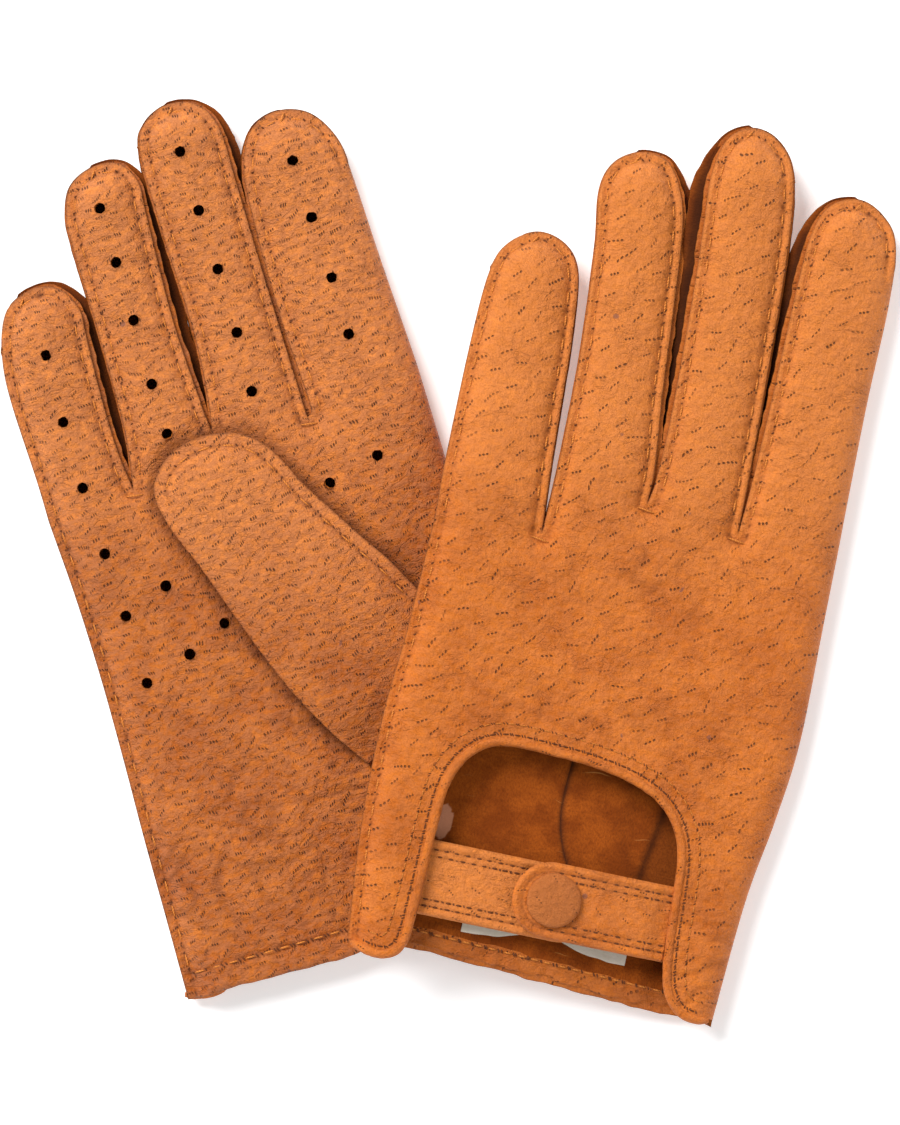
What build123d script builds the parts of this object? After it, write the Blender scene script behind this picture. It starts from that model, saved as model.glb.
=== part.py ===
"""Pair of unlined leather driving gloves, laid flat with one across the other.

The right glove lies palm up on the table. The left glove lies back up, with its little-finger
side resting on the right glove. Each glove is cut from the same pieces: a one-piece trank that
folds round the index side, a thumb, fourchettes between the fingers, small quirks in the
crotches, a bound cut-out on the back of the wrist, and a two-part strap with a snap fastener.

World frame: +Z up, the table at Z = 0, fingers towards +Y, origin at the middle of the table
area that the pair covers. Glove frame: x from the little-finger side to the index side, y from
the wrist to the fingertips, z up through the glove as it lies, with z = 0 at its lower face.
"""
from build123d import *
import os
from dataclasses import dataclass
from math import cos, radians, sin, tan

# Leather and lay
LEATHER = 1.2            # thickness of the trank, thumb and fourchettes
DEPTH = 11.0             # outside height of an empty hand or finger as it lies
SEAM_GAP = 0.4           # clearance where a finger or thumb tip meets the hand
CROTCH_GAP = 1.0         # width of the slit between two finger stubs
LEFT_TILT = 11.0         # the left glove leans off the right glove by this angle
TILT_LINE_X = 53.0       # line of the left glove's lower face that stays lowest
LEFT_LIFT = 1.0          # height of that line above the table

# Cut-out on the back of the wrist, and its binding
CUTOUT_WIDTH = 68.0
CUTOUT_HEIGHT = 61.5
CUTOUT_X = -1.4
CUTOUT_CORNER = 18.0
BINDING_WIDTH = 2.4
BINDING_THICK = 2.2

# Strap across the cut-out
STRAP_WIDTH = 20.0
STRAP_Y = 22.8           # height of the strap's centreline above the wrist edge
STRAP_THICK = 1.5
TAB_ROOT_X = 29.6        # where the tab bends, just inside the binding
TAB_LENGTH = 40.4        # root to rounded end
BASE_ROOT_X = -43.0      # the base starts under the leather of the little-finger side
BASE_LENGTH = 55.0
BASE_CLEARANCE = 0.2     # between the base's root and the cut-out's binding
SNAP_X = 0.3             # snap centre across the glove

# Snap fastener, four pressed pieces
CAP_RADIUS = 7.0
CAP_HEIGHT = 2.0
CAP_ROUND = 0.6          # share of the cap's height that is rounded off
SHANK_RADIUS = 1.5
SOCKET_RADIUS = 5.5
SOCKET_HEIGHT = 1.4
SOCKET_BORE = 2.6
STUD_RADIUS = 5.2
STUD_FLANGE = 0.3
STUD_PIN_RADIUS = 1.8
STUD_PIN_HEIGHT = 1.3
POST_HEIGHT = 0.6

# Label sewn inside the palm at the wrist
LABEL_WIDTH = 44.0
LABEL_HEIGHT = 22.0
LABEL_THICK = 0.4
LABEL_Y = STRAP_Y - 2.0

# Thumb, from the middle of its root to its tip, in the glove frame
THUMB_ROOT = (36.0, 55.0)
THUMB_TIP = (-3.0, 141.0)
THUMB_ROOT_WIDTH = 40.0
THUMB_TIP_WIDTH = 30.0
THUMB_BEND = 58.0        # distance from the root to the bend
THUMB_GAP = 0.3          # clearance between the thumb's root and the palm
THUMB_SPLAY = 1.7        # how much further the thumb's tip stands off the palm
THUMB_HOLE = (24.0, 34.0)
THUMB_HOLE_AT = (30.0, 72.0)
THUMB_REACH = 30.0       # taller than the thumb, for its cuts
TIP_ROUND = 0.42         # length of a round tip, as a share of its width

os.makedirs("parts", exist_ok=True)


@dataclass
class Finger:
    """One finger beyond its fold line, measured in the glove frame."""
    name: str
    x: float             # middle of the fold line
    y: float
    width: float         # at the fold line
    tip_width: float
    length: float
    lean: float          # degrees towards the little-finger side
    droop: float = 0.0   # degrees down from the hand's plane


@dataclass
class Glove:
    """One glove: where it lies, which way up, and the outline of its hand and fingers."""
    name: str
    plane: Plane
    back_up: bool
    fingers: list
    crotches: list       # height of each crotch above the wrist, little-finger side first
    little_side: list    # points up the little-finger edge of the hand
    index_side: list     # points up the index edge of the hand
    tab_tilt: float      # degrees that the strap tab rises outwards from its root
    base_tilt: float     # degrees that the strap base sinks inwards from its root
    tab_level: float     # how far the tab's outer face lies inside the glove's back at the root
    thumb_outer: Plane   # outer face of the thumb, normal away from the palm
    thumb_limit: float   # x beyond which the thumb's root is part of the trank fold

    def point(self, x, y, z):
        """World position of a point in the glove frame."""
        return self.plane.from_local_coords(Vector(x, y, z))

    @property
    def outward(self):
        """Direction out of the back of the hand."""
        return self.plane.z_dir if self.back_up else -self.plane.z_dir

    def back_height(self, depth):
        """Glove-frame height of a level that lies this deep inside the back's outer face."""
        return DEPTH - depth if self.back_up else depth

    def back_layer(self, depth, thickness):
        """Workplane under a layer that starts this deep inside the back's outer face."""
        near = self.back_height(depth)
        far = self.back_height(depth + thickness)
        return self.plane.offset(min(near, far))

    def finger_plane(self, finger):
        """Finger frame: origin on the fold line at the upper face, x across, y to the tip."""
        at_fold = Location((finger.x, finger.y, DEPTH), (0, 0, finger.lean))
        drooped = at_fold * Location((0, 0, 0), (-finger.droop, 0, 0))
        return Plane(self.plane.location * drooped)

    def thumb_plane(self):
        """Thumb frame: origin at the root on the palm, y to the tip, z away from the palm."""
        palm_z = 0.0 if self.back_up else DEPTH
        root = self.point(*THUMB_ROOT, palm_z)
        tip = self.point(*THUMB_TIP, palm_z)
        away = -self.outward
        along = (tip - root + away * THUMB_SPLAY).normalized()
        across = along.cross(away).normalized()
        return Plane(origin=root + away * THUMB_GAP, x_dir=across, z_dir=across.cross(along))


def fold_ends(finger):
    """Both ends of a finger's fold line in the glove frame, little-finger side first."""
    half = finger.width / 2
    across = (cos(radians(finger.lean)) * half, sin(radians(finger.lean)) * half)
    start = (finger.x - across[0], finger.y - across[1])
    end = (finger.x + across[0], finger.y + across[1])
    return start, end


def crotch_corners(glove, number):
    """The four corners of one slit between finger stubs, in order along the hand's edge."""
    right_of = fold_ends(glove.fingers[number])[1]
    left_of = fold_ends(glove.fingers[number + 1])[0]
    middle = (right_of[0] + left_of[0]) / 2
    bottom = glove.crotches[number]
    first = (middle - CROTCH_GAP / 2, bottom)
    second = (middle + CROTCH_GAP / 2, bottom)
    return right_of, first, second, left_of


def hand_face(glove):
    """Outline of the hand from the wrist edge to the fold lines of the fingers."""
    knuckles = [fold_ends(glove.fingers[0])[0]]
    for number in range(len(glove.crotches)):
        knuckles += crotch_corners(glove, number)
    knuckles.append(fold_ends(glove.fingers[-1])[1])
    with BuildSketch() as hand:
        with BuildLine():
            Spline(*glove.little_side, knuckles[0])
            Polyline(*knuckles)
            Spline(*glove.index_side, knuckles[-1])
            Line(glove.little_side[0], glove.index_side[0])
        make_face()
    return hand.sketch


def side_face(points, shift):
    """Thin strip along a side of the hand, between the edge and its copy moved inwards."""
    moved = [(x + shift, y) for x, y in points]
    with BuildSketch() as strip:
        with BuildLine():
            Spline(*points)
            Spline(*moved)
            Line(points[0], moved[0])
            Line(points[-1], moved[-1])
        make_face()
    return strip.sketch


def tapered_face(start, root_width, tip_width, length):
    """Outline of a finger or thumb: straight tapering sides and a round end."""
    shoulder = length - tip_width * TIP_ROUND
    with BuildSketch() as outline:
        with BuildLine():
            Line((-root_width / 2, start), (-tip_width / 2, shoulder))
            ThreePointArc((-tip_width / 2, shoulder), (0, length), (tip_width / 2, shoulder))
            Line((tip_width / 2, shoulder), (root_width / 2, start))
            Line((root_width / 2, start), (-root_width / 2, start))
        make_face()
    return outline.sketch


def cutout_face(inset):
    """Inverted U on the wrist edge, drawn smaller all round by the inset."""
    width = CUTOUT_WIDTH - 2 * inset
    height = CUTOUT_HEIGHT - inset
    corner = CUTOUT_CORNER - inset
    with BuildSketch() as shape:
        with Locations((CUTOUT_X, 0)):
            Rectangle(width, 2 * height)
        upper = shape.vertices().group_by(Axis.Y)[-1]
        fillet(upper, corner)
    return shape.sketch


def finish(name, part):
    """Label one piece and write it as its own node."""
    part.label = name
    export_step(part, f"parts/{name}.step")


def make_trank(glove):
    """The trank's hand: back with the cut-out and the index fold, palm with the outseam."""
    index_end = fold_ends(glove.fingers[-1])[1]
    little_end = fold_ends(glove.fingers[0])[0]
    wall_height = DEPTH - 2 * LEATHER
    wall_plane = glove.plane.offset(LEATHER)
    with BuildPart() as back:
        with BuildSketch(glove.back_layer(0, LEATHER)):
            add(hand_face(glove))
            add(cutout_face(0), mode=Mode.SUBTRACT)
        extrude(amount=LEATHER)
        with BuildSketch(wall_plane):
            add(side_face(glove.index_side + [index_end], -LEATHER))
        extrude(amount=wall_height)
    finish(f"{glove.name}_back_panel", back.part)

    with BuildPart() as palm:
        with BuildSketch(glove.back_layer(DEPTH - LEATHER, LEATHER)):
            add(hand_face(glove))
            with Locations(THUMB_HOLE_AT):
                Ellipse(THUMB_HOLE[0] / 2, THUMB_HOLE[1] / 2, mode=Mode.SUBTRACT)
        extrude(amount=LEATHER)
        with BuildSketch(wall_plane):
            add(side_face(glove.little_side + [little_end], LEATHER))
        extrude(amount=wall_height)
    finish(f"{glove.name}_palm_panel", palm.part)


def make_quirks(glove):
    """Three small gussets, one lining each slit between the finger stubs."""
    with BuildPart() as quirks:
        for number in range(len(glove.crotches)):
            right_of, first, second, left_of = crotch_corners(glove, number)
            with BuildSketch(glove.plane.offset(LEATHER)):
                with BuildLine():
                    Polyline(
                        right_of,
                        first,
                        second,
                        left_of,
                        (left_of[0] + LEATHER, left_of[1]),
                        (second[0] + LEATHER, second[1] - LEATHER),
                        (first[0] - LEATHER, first[1] - LEATHER),
                        (right_of[0] - LEATHER, right_of[1]),
                        close=True,
                    )
                make_face()
            extrude(amount=DEPTH - 2 * LEATHER)
    finish(f"{glove.name}_quirks", quirks.part)


def make_binding(glove):
    """Rolled leather binding round the edge of the cut-out."""
    with BuildPart() as binding:
        with BuildSketch(glove.back_layer(0, BINDING_THICK)):
            add(cutout_face(0))
            add(cutout_face(BINDING_WIDTH), mode=Mode.SUBTRACT)
            with Locations((CUTOUT_X, -CUTOUT_HEIGHT)):
                Rectangle(2 * CUTOUT_WIDTH, 2 * CUTOUT_HEIGHT, mode=Mode.SUBTRACT)
        extrude(amount=BINDING_THICK)
    finish(f"{glove.name}_cutout_binding", binding.part)


def make_finger(glove, finger):
    """Back and palm strips of one finger, and the fourchettes sewn between them."""
    plane = glove.finger_plane(finger)
    lower_start = SEAM_GAP + DEPTH * tan(radians(finger.droop))
    size = (finger.width, finger.tip_width, finger.length)
    inner = (finger.width - 2 * LEATHER, finger.tip_width - 2 * LEATHER, finger.length - LEATHER)
    wall_height = DEPTH - 2 * LEATHER
    prefix = f"{glove.name}_{finger.name}"
    fold_side = {"index": 1, "little": -1}.get(finger.name, 0)

    for role in ("back", "palm"):
        uppermost = (role == "back") == glove.back_up
        level = -LEATHER if uppermost else -DEPTH
        start = SEAM_GAP if uppermost else lower_start
        has_wall = (finger.name, role) in (("index", "back"), ("little", "palm"))
        with BuildPart() as strip:
            with BuildSketch(plane.offset(level)):
                add(tapered_face(start, *size))
            extrude(amount=LEATHER)
            if has_wall:
                with BuildSketch(plane.offset(LEATHER - DEPTH)):
                    add(tapered_face(lower_start, *size))
                    add(tapered_face(lower_start, *inner), mode=Mode.SUBTRACT)
                    with Locations((-fold_side * finger.width / 2, finger.length / 2)):
                        Rectangle(finger.width, 2 * finger.length, mode=Mode.SUBTRACT)
                extrude(amount=wall_height)
        finish(f"{prefix}_{role}", strip.part)

    with BuildPart() as fourchettes:
        with BuildSketch(plane.offset(LEATHER - DEPTH)):
            add(tapered_face(lower_start, *size))
            add(tapered_face(lower_start, *inner), mode=Mode.SUBTRACT)
            Rectangle(SEAM_GAP, 3 * finger.length, mode=Mode.SUBTRACT)
            if fold_side:
                with Locations((fold_side * finger.width / 2, finger.length / 2)):
                    Rectangle(finger.width, 2 * finger.length, mode=Mode.SUBTRACT)
        extrude(amount=wall_height)
    noun = "fourchette" if fold_side else "fourchettes"
    finish(f"{prefix}_{noun}", fourchettes.part)


def make_thumb(glove):
    """Thumb folded flat on the palm: an inner leaf with its walls, and an outer leaf."""
    plane = glove.thumb_plane()
    full = (Vector(*THUMB_TIP) - Vector(*THUMB_ROOT)).length
    size = (THUMB_ROOT_WIDTH, THUMB_TIP_WIDTH, full)
    inner = (THUMB_ROOT_WIDTH - 2 * LEATHER, THUMB_TIP_WIDTH - 2 * LEATHER, full - LEATHER)
    outer_face = glove.thumb_outer
    leaf_face = outer_face.offset(-LEATHER)
    limit = Plane(glove.point(glove.thumb_limit, 0, 0), z_dir=glove.plane.x_dir)
    for stretch in ("base", "tip"):
        at_bend = Plane(plane.from_local_coords(Vector(0, THUMB_BEND, 0)), z_dir=plane.y_dir)
        kept = Keep.BOTTOM if stretch == "base" else Keep.TOP
        cut = at_bend.offset(-SEAM_GAP / 2 if stretch == "base" else SEAM_GAP / 2)
        with BuildPart() as outer_leaf:
            with BuildSketch(plane):
                add(tapered_face(0, *size))
            extrude(amount=THUMB_REACH)
            split(bisect_by=outer_face, keep=Keep.BOTTOM)
            split(bisect_by=leaf_face, keep=Keep.TOP)
            split(bisect_by=cut, keep=kept)
            split(bisect_by=limit, keep=Keep.BOTTOM)
        finish(f"{glove.name}_thumb_{stretch}_outer", outer_leaf.part)

        with BuildPart() as inner_leaf:
            with BuildSketch(plane):
                add(tapered_face(0, *size))
            extrude(amount=THUMB_REACH)
            with BuildSketch(plane.offset(LEATHER)):
                add(tapered_face(-1, *inner))
            extrude(amount=THUMB_REACH, mode=Mode.SUBTRACT)
            if stretch == "base":
                with BuildSketch(glove.plane.offset(-THUMB_REACH)):
                    with Locations(THUMB_HOLE_AT):
                        Ellipse(THUMB_HOLE[0] / 2, THUMB_HOLE[1] / 2)
                extrude(amount=3 * THUMB_REACH, mode=Mode.SUBTRACT)
            split(bisect_by=leaf_face, keep=Keep.BOTTOM)
            split(bisect_by=cut, keep=kept)
            split(bisect_by=limit, keep=Keep.BOTTOM)
        finish(f"{glove.name}_thumb_{stretch}_inner", inner_leaf.part)


def tab_plane(glove):
    """Strap tab frame: origin at the root on the outer face, x to the tip, z outwards."""
    root = glove.point(TAB_ROOT_X, STRAP_Y, glove.back_height(glove.tab_level))
    tilt = radians(glove.tab_tilt)
    along = -glove.plane.x_dir * cos(tilt) + glove.outward * sin(tilt)
    normal = glove.outward * cos(tilt) + glove.plane.x_dir * sin(tilt)
    return Plane(origin=root, x_dir=along, z_dir=normal)


def base_plane(glove):
    """Strap base frame: origin at the root on the outer face, x to the end, z outwards."""
    root = glove.point(BASE_ROOT_X, STRAP_Y, glove.back_height(BINDING_THICK + BASE_CLEARANCE))
    tilt = radians(glove.base_tilt)
    along = glove.plane.x_dir * cos(tilt) - glove.outward * sin(tilt)
    normal = glove.outward * cos(tilt) + glove.plane.x_dir * sin(tilt)
    return Plane(origin=root, x_dir=along, z_dir=normal)


def strap_face(length, hole_at):
    """Strap outline: straight root, round end, and a small hole for the snap's shank."""
    with BuildSketch() as strap:
        body = length - STRAP_WIDTH / 2
        with Locations((body / 2, 0)):
            Rectangle(body, STRAP_WIDTH)
        with Locations((body, 0)):
            Circle(STRAP_WIDTH / 2)
        with Locations((hole_at, 0)):
            Circle(SHANK_RADIUS + 0.1, mode=Mode.SUBTRACT)
    return strap.sketch


def make_strap(glove):
    """Strap tab with the snap's cap and socket, strap base with its stud and post."""
    tab = tab_plane(glove)
    base = base_plane(glove)
    tab_snap = (TAB_ROOT_X - SNAP_X) / cos(radians(glove.tab_tilt))
    base_snap = (SNAP_X - BASE_ROOT_X) / cos(radians(glove.base_tilt))

    with BuildPart() as strap_tab:
        with BuildSketch(tab.offset(-STRAP_THICK)):
            add(strap_face(TAB_LENGTH, tab_snap))
        extrude(amount=STRAP_THICK)
    finish(f"{glove.name}_strap_tab", strap_tab.part)

    with BuildPart() as strap_base:
        with BuildSketch(base.offset(-STRAP_THICK)):
            add(strap_face(BASE_LENGTH, base_snap))
        extrude(amount=STRAP_THICK)
    finish(f"{glove.name}_strap_base", strap_base.part)

    with BuildPart() as cap:
        with BuildSketch(tab):
            with Locations((tab_snap, 0)):
                Circle(CAP_RADIUS)
        extrude(amount=CAP_HEIGHT)
        rims = cap.edges().filter_by(GeomType.CIRCLE)
        fillet(rims.sort_by(Axis(tab.origin, tab.z_dir))[-1], CAP_HEIGHT * CAP_ROUND)
        with BuildSketch(tab.offset(-STRAP_THICK)):
            with Locations((tab_snap, 0)):
                Circle(SHANK_RADIUS)
        extrude(amount=STRAP_THICK)
    finish(f"{glove.name}_snap_cap", cap.part)

    with BuildPart() as socket:
        with BuildSketch(tab.offset(-STRAP_THICK - SOCKET_HEIGHT)):
            with Locations((tab_snap, 0)):
                Circle(SOCKET_RADIUS)
                Circle(SOCKET_BORE, mode=Mode.SUBTRACT)
        extrude(amount=SOCKET_HEIGHT)
    finish(f"{glove.name}_snap_socket", socket.part)

    with BuildPart() as stud:
        with BuildSketch(base):
            with Locations((base_snap, 0)):
                Circle(STUD_RADIUS)
        extrude(amount=STUD_FLANGE)
        with BuildSketch(base.offset(STUD_FLANGE)):
            with Locations((base_snap, 0)):
                Circle(STUD_PIN_RADIUS)
        extrude(amount=STUD_PIN_HEIGHT)
    finish(f"{glove.name}_snap_stud", stud.part)

    with BuildPart() as post:
        with BuildSketch(base.offset(-STRAP_THICK - POST_HEIGHT)):
            with Locations((base_snap, 0)):
                Circle(STUD_RADIUS)
        extrude(amount=POST_HEIGHT)
        with BuildSketch(base.offset(-STRAP_THICK)):
            with Locations((base_snap, 0)):
                Circle(SHANK_RADIUS)
        extrude(amount=STRAP_THICK)
    finish(f"{glove.name}_snap_post", post.part)


def make_label(glove):
    """Blank woven label on the inside of the palm at the wrist."""
    depth = DEPTH - LEATHER - LABEL_THICK
    with BuildPart() as label:
        with BuildSketch(glove.back_layer(depth, LABEL_THICK)):
            with Locations((SNAP_X, LABEL_Y)):
                Rectangle(LABEL_WIDTH, LABEL_HEIGHT)
        extrude(amount=LABEL_THICK)
    finish(f"{glove.name}_label", label.part)


RIGHT_PLANE = Plane(Location((-21.71, -101.85, 0), (0, 0, 16.0)))
LEFT_PLANE = Plane(
    Location((19.26, -110.12, LEFT_LIFT), (0, 0, -12.2))
    * Location((TILT_LINE_X, 0, 0))
    * Location((0, 0, 0), (0, LEFT_TILT, 0))
    * Location((-TILT_LINE_X, 0, 0))
)

right = Glove(
    name="right",
    plane=RIGHT_PLANE,
    back_up=False,
    fingers=[
        Finger("little", -37.6, 136.0, 23.0, 21.0, 54.6, -2.0),
        Finger("ring", -12.6, 145.0, 21.5, 20.0, 72.4, -0.5),
        Finger("middle", 12.2, 145.0, 23.0, 21.5, 82.6, 0.0),
        Finger("index", 40.0, 141.5, 29.0, 26.0, 75.4, 0.5),
    ],
    crotches=[133.3, 142.4, 138.8],
    little_side=[(-48.6, 0), (-48.2, 50), (-47.6, 95)],
    index_side=[(48, 0), (50.5, 40), (55, 90)],
    tab_tilt=-2.0,
    base_tilt=5.6,
    tab_level=1.3,
    thumb_outer=Plane(RIGHT_PLANE.location * Location((36, 55, DEPTH + 4.0), (3.0, 0, 0))),
    thumb_limit=56.0,
)

left = Glove(
    name="left",
    plane=LEFT_PLANE,
    back_up=True,
    fingers=[
        Finger("little", -37.6, 119.5, 27.0, 21.5, 73.7, 2.0, 11.5),
        Finger("ring", -10.7, 132.5, 24.0, 21.5, 87.0, 4.3, 6.8),
        Finger("middle", 15.2, 132.5, 23.6, 22.0, 99.0, 2.5, 3.0),
        Finger("index", 41.2, 130.0, 25.6, 23.5, 89.0, 0.5),
    ],
    crotches=[116.3, 129.6, 126.8],
    little_side=[(-50, 0), (-53.2, 45), (-52.0, 85)],
    index_side=[(48, 0), (51.8, 44), (55, 88)],
    tab_tilt=1.0,
    base_tilt=0.0,
    tab_level=-0.6,
    thumb_outer=Plane((0, 0, 0), z_dir=(0, 0, -1)),
    thumb_limit=40.0,
)

if __name__ == "__main__":
    for glove in (right, left):
        make_trank(glove)
        make_quirks(glove)
        make_binding(glove)
        make_thumb(glove)
        make_strap(glove)
        make_label(glove)
        for finger in glove.fingers:
            make_finger(glove, finger)
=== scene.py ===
"""Visual model of a pair of unlined leather driving gloves, one laid across the other.

Every leaf of leather is a grid of points in its glove's own plan: x runs from the little-finger
side to the index side, y from the wrist to the fingertips, and z is the height above the glove's
lowest plane. Lengths are in millimetres until a piece is placed in the world frame, in metres.
"""
from math import cos, pi, radians, sin, tan

import bpy
import numpy as np
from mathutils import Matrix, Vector, kdtree


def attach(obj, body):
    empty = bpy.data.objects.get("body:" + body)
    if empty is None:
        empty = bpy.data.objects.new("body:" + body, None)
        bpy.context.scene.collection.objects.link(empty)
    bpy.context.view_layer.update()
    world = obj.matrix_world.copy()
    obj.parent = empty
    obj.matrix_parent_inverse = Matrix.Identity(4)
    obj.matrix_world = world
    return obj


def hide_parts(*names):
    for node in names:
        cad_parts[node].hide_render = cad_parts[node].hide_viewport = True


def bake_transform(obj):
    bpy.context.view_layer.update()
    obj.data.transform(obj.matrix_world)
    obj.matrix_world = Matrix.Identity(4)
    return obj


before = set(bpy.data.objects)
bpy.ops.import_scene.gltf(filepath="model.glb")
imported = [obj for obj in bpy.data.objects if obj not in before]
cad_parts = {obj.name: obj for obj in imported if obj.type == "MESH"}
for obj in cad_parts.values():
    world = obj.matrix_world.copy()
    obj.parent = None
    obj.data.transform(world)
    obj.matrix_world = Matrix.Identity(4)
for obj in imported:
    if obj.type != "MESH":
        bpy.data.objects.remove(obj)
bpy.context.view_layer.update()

# Leather and seams, in millimetres
LEATHER = 1.0            # thickness of one leaf
DEPTH = 11.0             # outside height of an empty glove as it lies
MIDDLE = 5.2             # height of the folds and side seams of an empty glove
HAND_SEAM = 5.4          # height of the upper leaf's edge along the hand
FINGER_SEAM_RISE = 2.9   # how much higher that edge lies along the fingers
LOW_SEAM = 3.3           # height of the lower leaf's edge
FOLD_RADIUS = 7.5        # roundness of a side without a seam
SEAM_INSET = 2.4         # from a cut edge to its stitches
SEAM_PITCH = 6.4         # one stitch and the gap after it
SEAM_LENGTH = 3.4        # visible thread of one stitch
FINE_PITCH = 3.2         # stitches beside the binding
THREAD = 0.24            # half width of the thread
HOLE_RADIUS = 1.5        # punched air holes in the palm
HEM_WIDTH = 6.6          # leather turned in at the wrist
HEM_ROWS = 10            # rows of grid points across the hem
BINDING_RADIUS = 1.25
BINDING_SIDES, BINDING_SQUASH = 12, 0.95
GRID = 0.8               # spacing of points on the leaves that show
HAND_ROWS = 160          # rows of grid points from the crotches to the wrist
FINGER_WIDTH = 26        # plan width that sets the number of columns of one finger
FINGER_TURN = 17.0       # length of leather that bends at a finger's fold line
THUMB_TURN = 16.0
TILT = tan(radians(11.0))    # the left glove leans off the right one
TILT_LINE = 53.0             # and comes down, at this x of its plan,
LEFT_LIFT = 1.0              # to this height above the table

# Strap, snap and label, in the glove's plan
TAB_AT = (31.6, -10.6, 23.0, 10.0)       # start and end across the wrist, middle, half width
BASE_AT = (-42.5, 12.2, 22.3, 9.9)
STRAP_THICK = 1.5
STRAP_FOLD = 29.6                        # x of the line on which the tab opens
STRAP_ROWS = (2.5, 4.2)                  # stitch rows, from the strap's edge
STRAP_PITCH, STRAP_STITCH, STRAP_THREAD = 2.9, 1.75, 0.27
SNAP_AT = (0.3, 23.2)
# radius and height of the snap's covered cap, from its middle below to its middle on top
CAP_DOME = [(0, -0.5), (6.6, -0.5), (6.9, 0.05), (7.15, 0.5), (7.1, 0.95), (6.75, 1.35),
            (6.2, 1.6), (5.2, 1.82), (4.0, 1.98), (2.6, 2.08), (1.2, 2.12), (0, 2.13)]
LABEL_SIDES = (-21.7, 22.3)
LABEL_LOW, LABEL_HIGH, LABEL_THICK = 9.8, 31.6, 0.3

# Punched holes of a palm: one row up each finger and a few on the hand
HOLES = {
    "little": [(-37.7, 173.2), (-38.2, 155.1), (-38.0, 137.1)],
    "ring": [(-13.5, 206.4), (-13.3, 191.6), (-13.0, 175.7), (-13.1, 158.3), (-12.8, 144.6)],
    "middle": [(10.8, 214.9), (11.3, 198.7), (11.9, 182.5), (12.1, 165.2), (11.6, 149.3)],
    "index": [(38.6, 204.5), (39.3, 188.8), (40.0, 172.2), (40.2, 156.7)],
    "hand": [(-37.2, 118.9), (-36.4, 101.7), (-35.9, 83.3), (-24.1, 106.4), (-11.9, 92.8),
             (-23.0, 87.5), (39.6, 138.0), (38.7, 124.1), (24.6, 120.5)],
}

# Edge of the back at the wrist, from the little-finger side round the cut-out to the index side
CUT_EDGE = [
    (-50.2, 2.4), (-44.0, 0.8), (-39.5, 1.0), (-36.6, 3.8), (-35.7, 10), (-35.3, 22), (-35.0, 36),
    (-34.2, 47), (-31.2, 54.6), (-26.0, 59.6), (-19, 61.6), (-6, 61.4), (5, 60.5), (15.5, 58.2),
    (23.4, 54.2), (28.8, 47.8), (31.3, 40), (32.2, 30), (32.9, 18), (34.4, 8.0), (37.6, 2.6),
    (42, 0.6), (47.9, 0.8),
]
FINGERS = ("little", "ring", "middle", "index")


# ---------------------------------------------------------------- numbers and curves
def lattice(ix, iy, seed):
    """A repeatable number from 0 to 1 for each point of a lattice."""
    n = (ix * 374761393 + iy * 668265263 + seed * 974711) & 0xFFFFFFFF
    n = ((n ^ (n >> 13)) * 1274126177) & 0xFFFFFFFF
    return ((n ^ (n >> 16)) & 0xFFFF) / 65535.0


def noise(x, y, seed):
    """Smooth noise from -1 to 1 with one bump per unit."""
    x, y = np.asarray(x, float), np.asarray(y, float)
    ix, iy = np.floor(x).astype(np.int64), np.floor(y).astype(np.int64)
    fx, fy = x - ix, y - iy
    fx, fy = fx * fx * (3 - 2 * fx), fy * fy * (3 - 2 * fy)
    low = lattice(ix, iy, seed) * (1 - fx) + lattice(ix + 1, iy, seed) * fx
    high = lattice(ix, iy + 1, seed) * (1 - fx) + lattice(ix + 1, iy + 1, seed) * fx
    return 2 * (low * (1 - fy) + high * fy) - 1


def creases(x, y, seed):
    """Narrow valleys from -1 to 0 along the zero lines of the noise."""
    return -np.exp(-(noise(x, y, seed) / 0.16) ** 2)


def ramp(low, high, value):
    """Smooth step from 0 at low to 1 at high."""
    t = np.clip((np.asarray(value, float) - low) / (high - low), 0, 1)
    return t * t * (3 - 2 * t)


def bump(value, centre, width):
    """Smooth bump of height 1 at the centre."""
    return np.exp(-((np.asarray(value, float) - centre) / width) ** 2)


def arc_length(line):
    """Distance along a line of points, one number per point."""
    steps = np.linalg.norm(np.diff(line, axis=0), axis=1)
    return np.concatenate([[0], np.cumsum(steps)])


def points_at(line, shares):
    """Points of a line at these shares of its length."""
    length = arc_length(line)
    return np.stack([np.interp(shares * length[-1], length, each) for each in line.T], axis=1)


def resample(line, count):
    """A line with this many points, evenly spaced."""
    return points_at(line, np.linspace(0, 1, count))


def smooth(points, step=0.5):
    """Catmull-Rom curve through the points, in even steps."""
    p = np.array(points, float)
    p = np.vstack([2 * p[0] - p[1], p, 2 * p[-1] - p[-2]])
    t = np.linspace(0, 1, 24, endpoint=False)[:, None]
    runs = []
    for a, b, c, d in zip(p, p[1:], p[2:], p[3:]):
        runs.append(0.5 * (2 * b + (c - a) * t + (2 * a - 5 * b + 4 * c - d) * t ** 2
                           + (3 * b - a - 3 * c + d) * t ** 3))
    line = np.vstack(runs + [p[-2][None]])
    return resample(line, max(4, int(arc_length(line)[-1] / step)))


def sideways(line):
    """Unit vectors to the right of a plan line as it runs."""
    along = np.gradient(line, axis=0)
    along /= np.linalg.norm(along, axis=1)[:, None] + 1e-12
    return np.stack([along[:, 1], -along[:, 0]], axis=1)


def inside(points, polygon):
    """Which plan points lie inside a closed polygon."""
    x, y = points[..., 0], points[..., 1]
    found = np.zeros(x.shape, bool)
    for (ax, ay), (bx, by) in zip(polygon, np.roll(polygon, -1, axis=0)):
        if ay != by:
            crossing = (ay > y) != (by > y)
            found ^= crossing & (x < (bx - ax) * (y - ay) / (by - ay) + ax)
    return found


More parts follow.
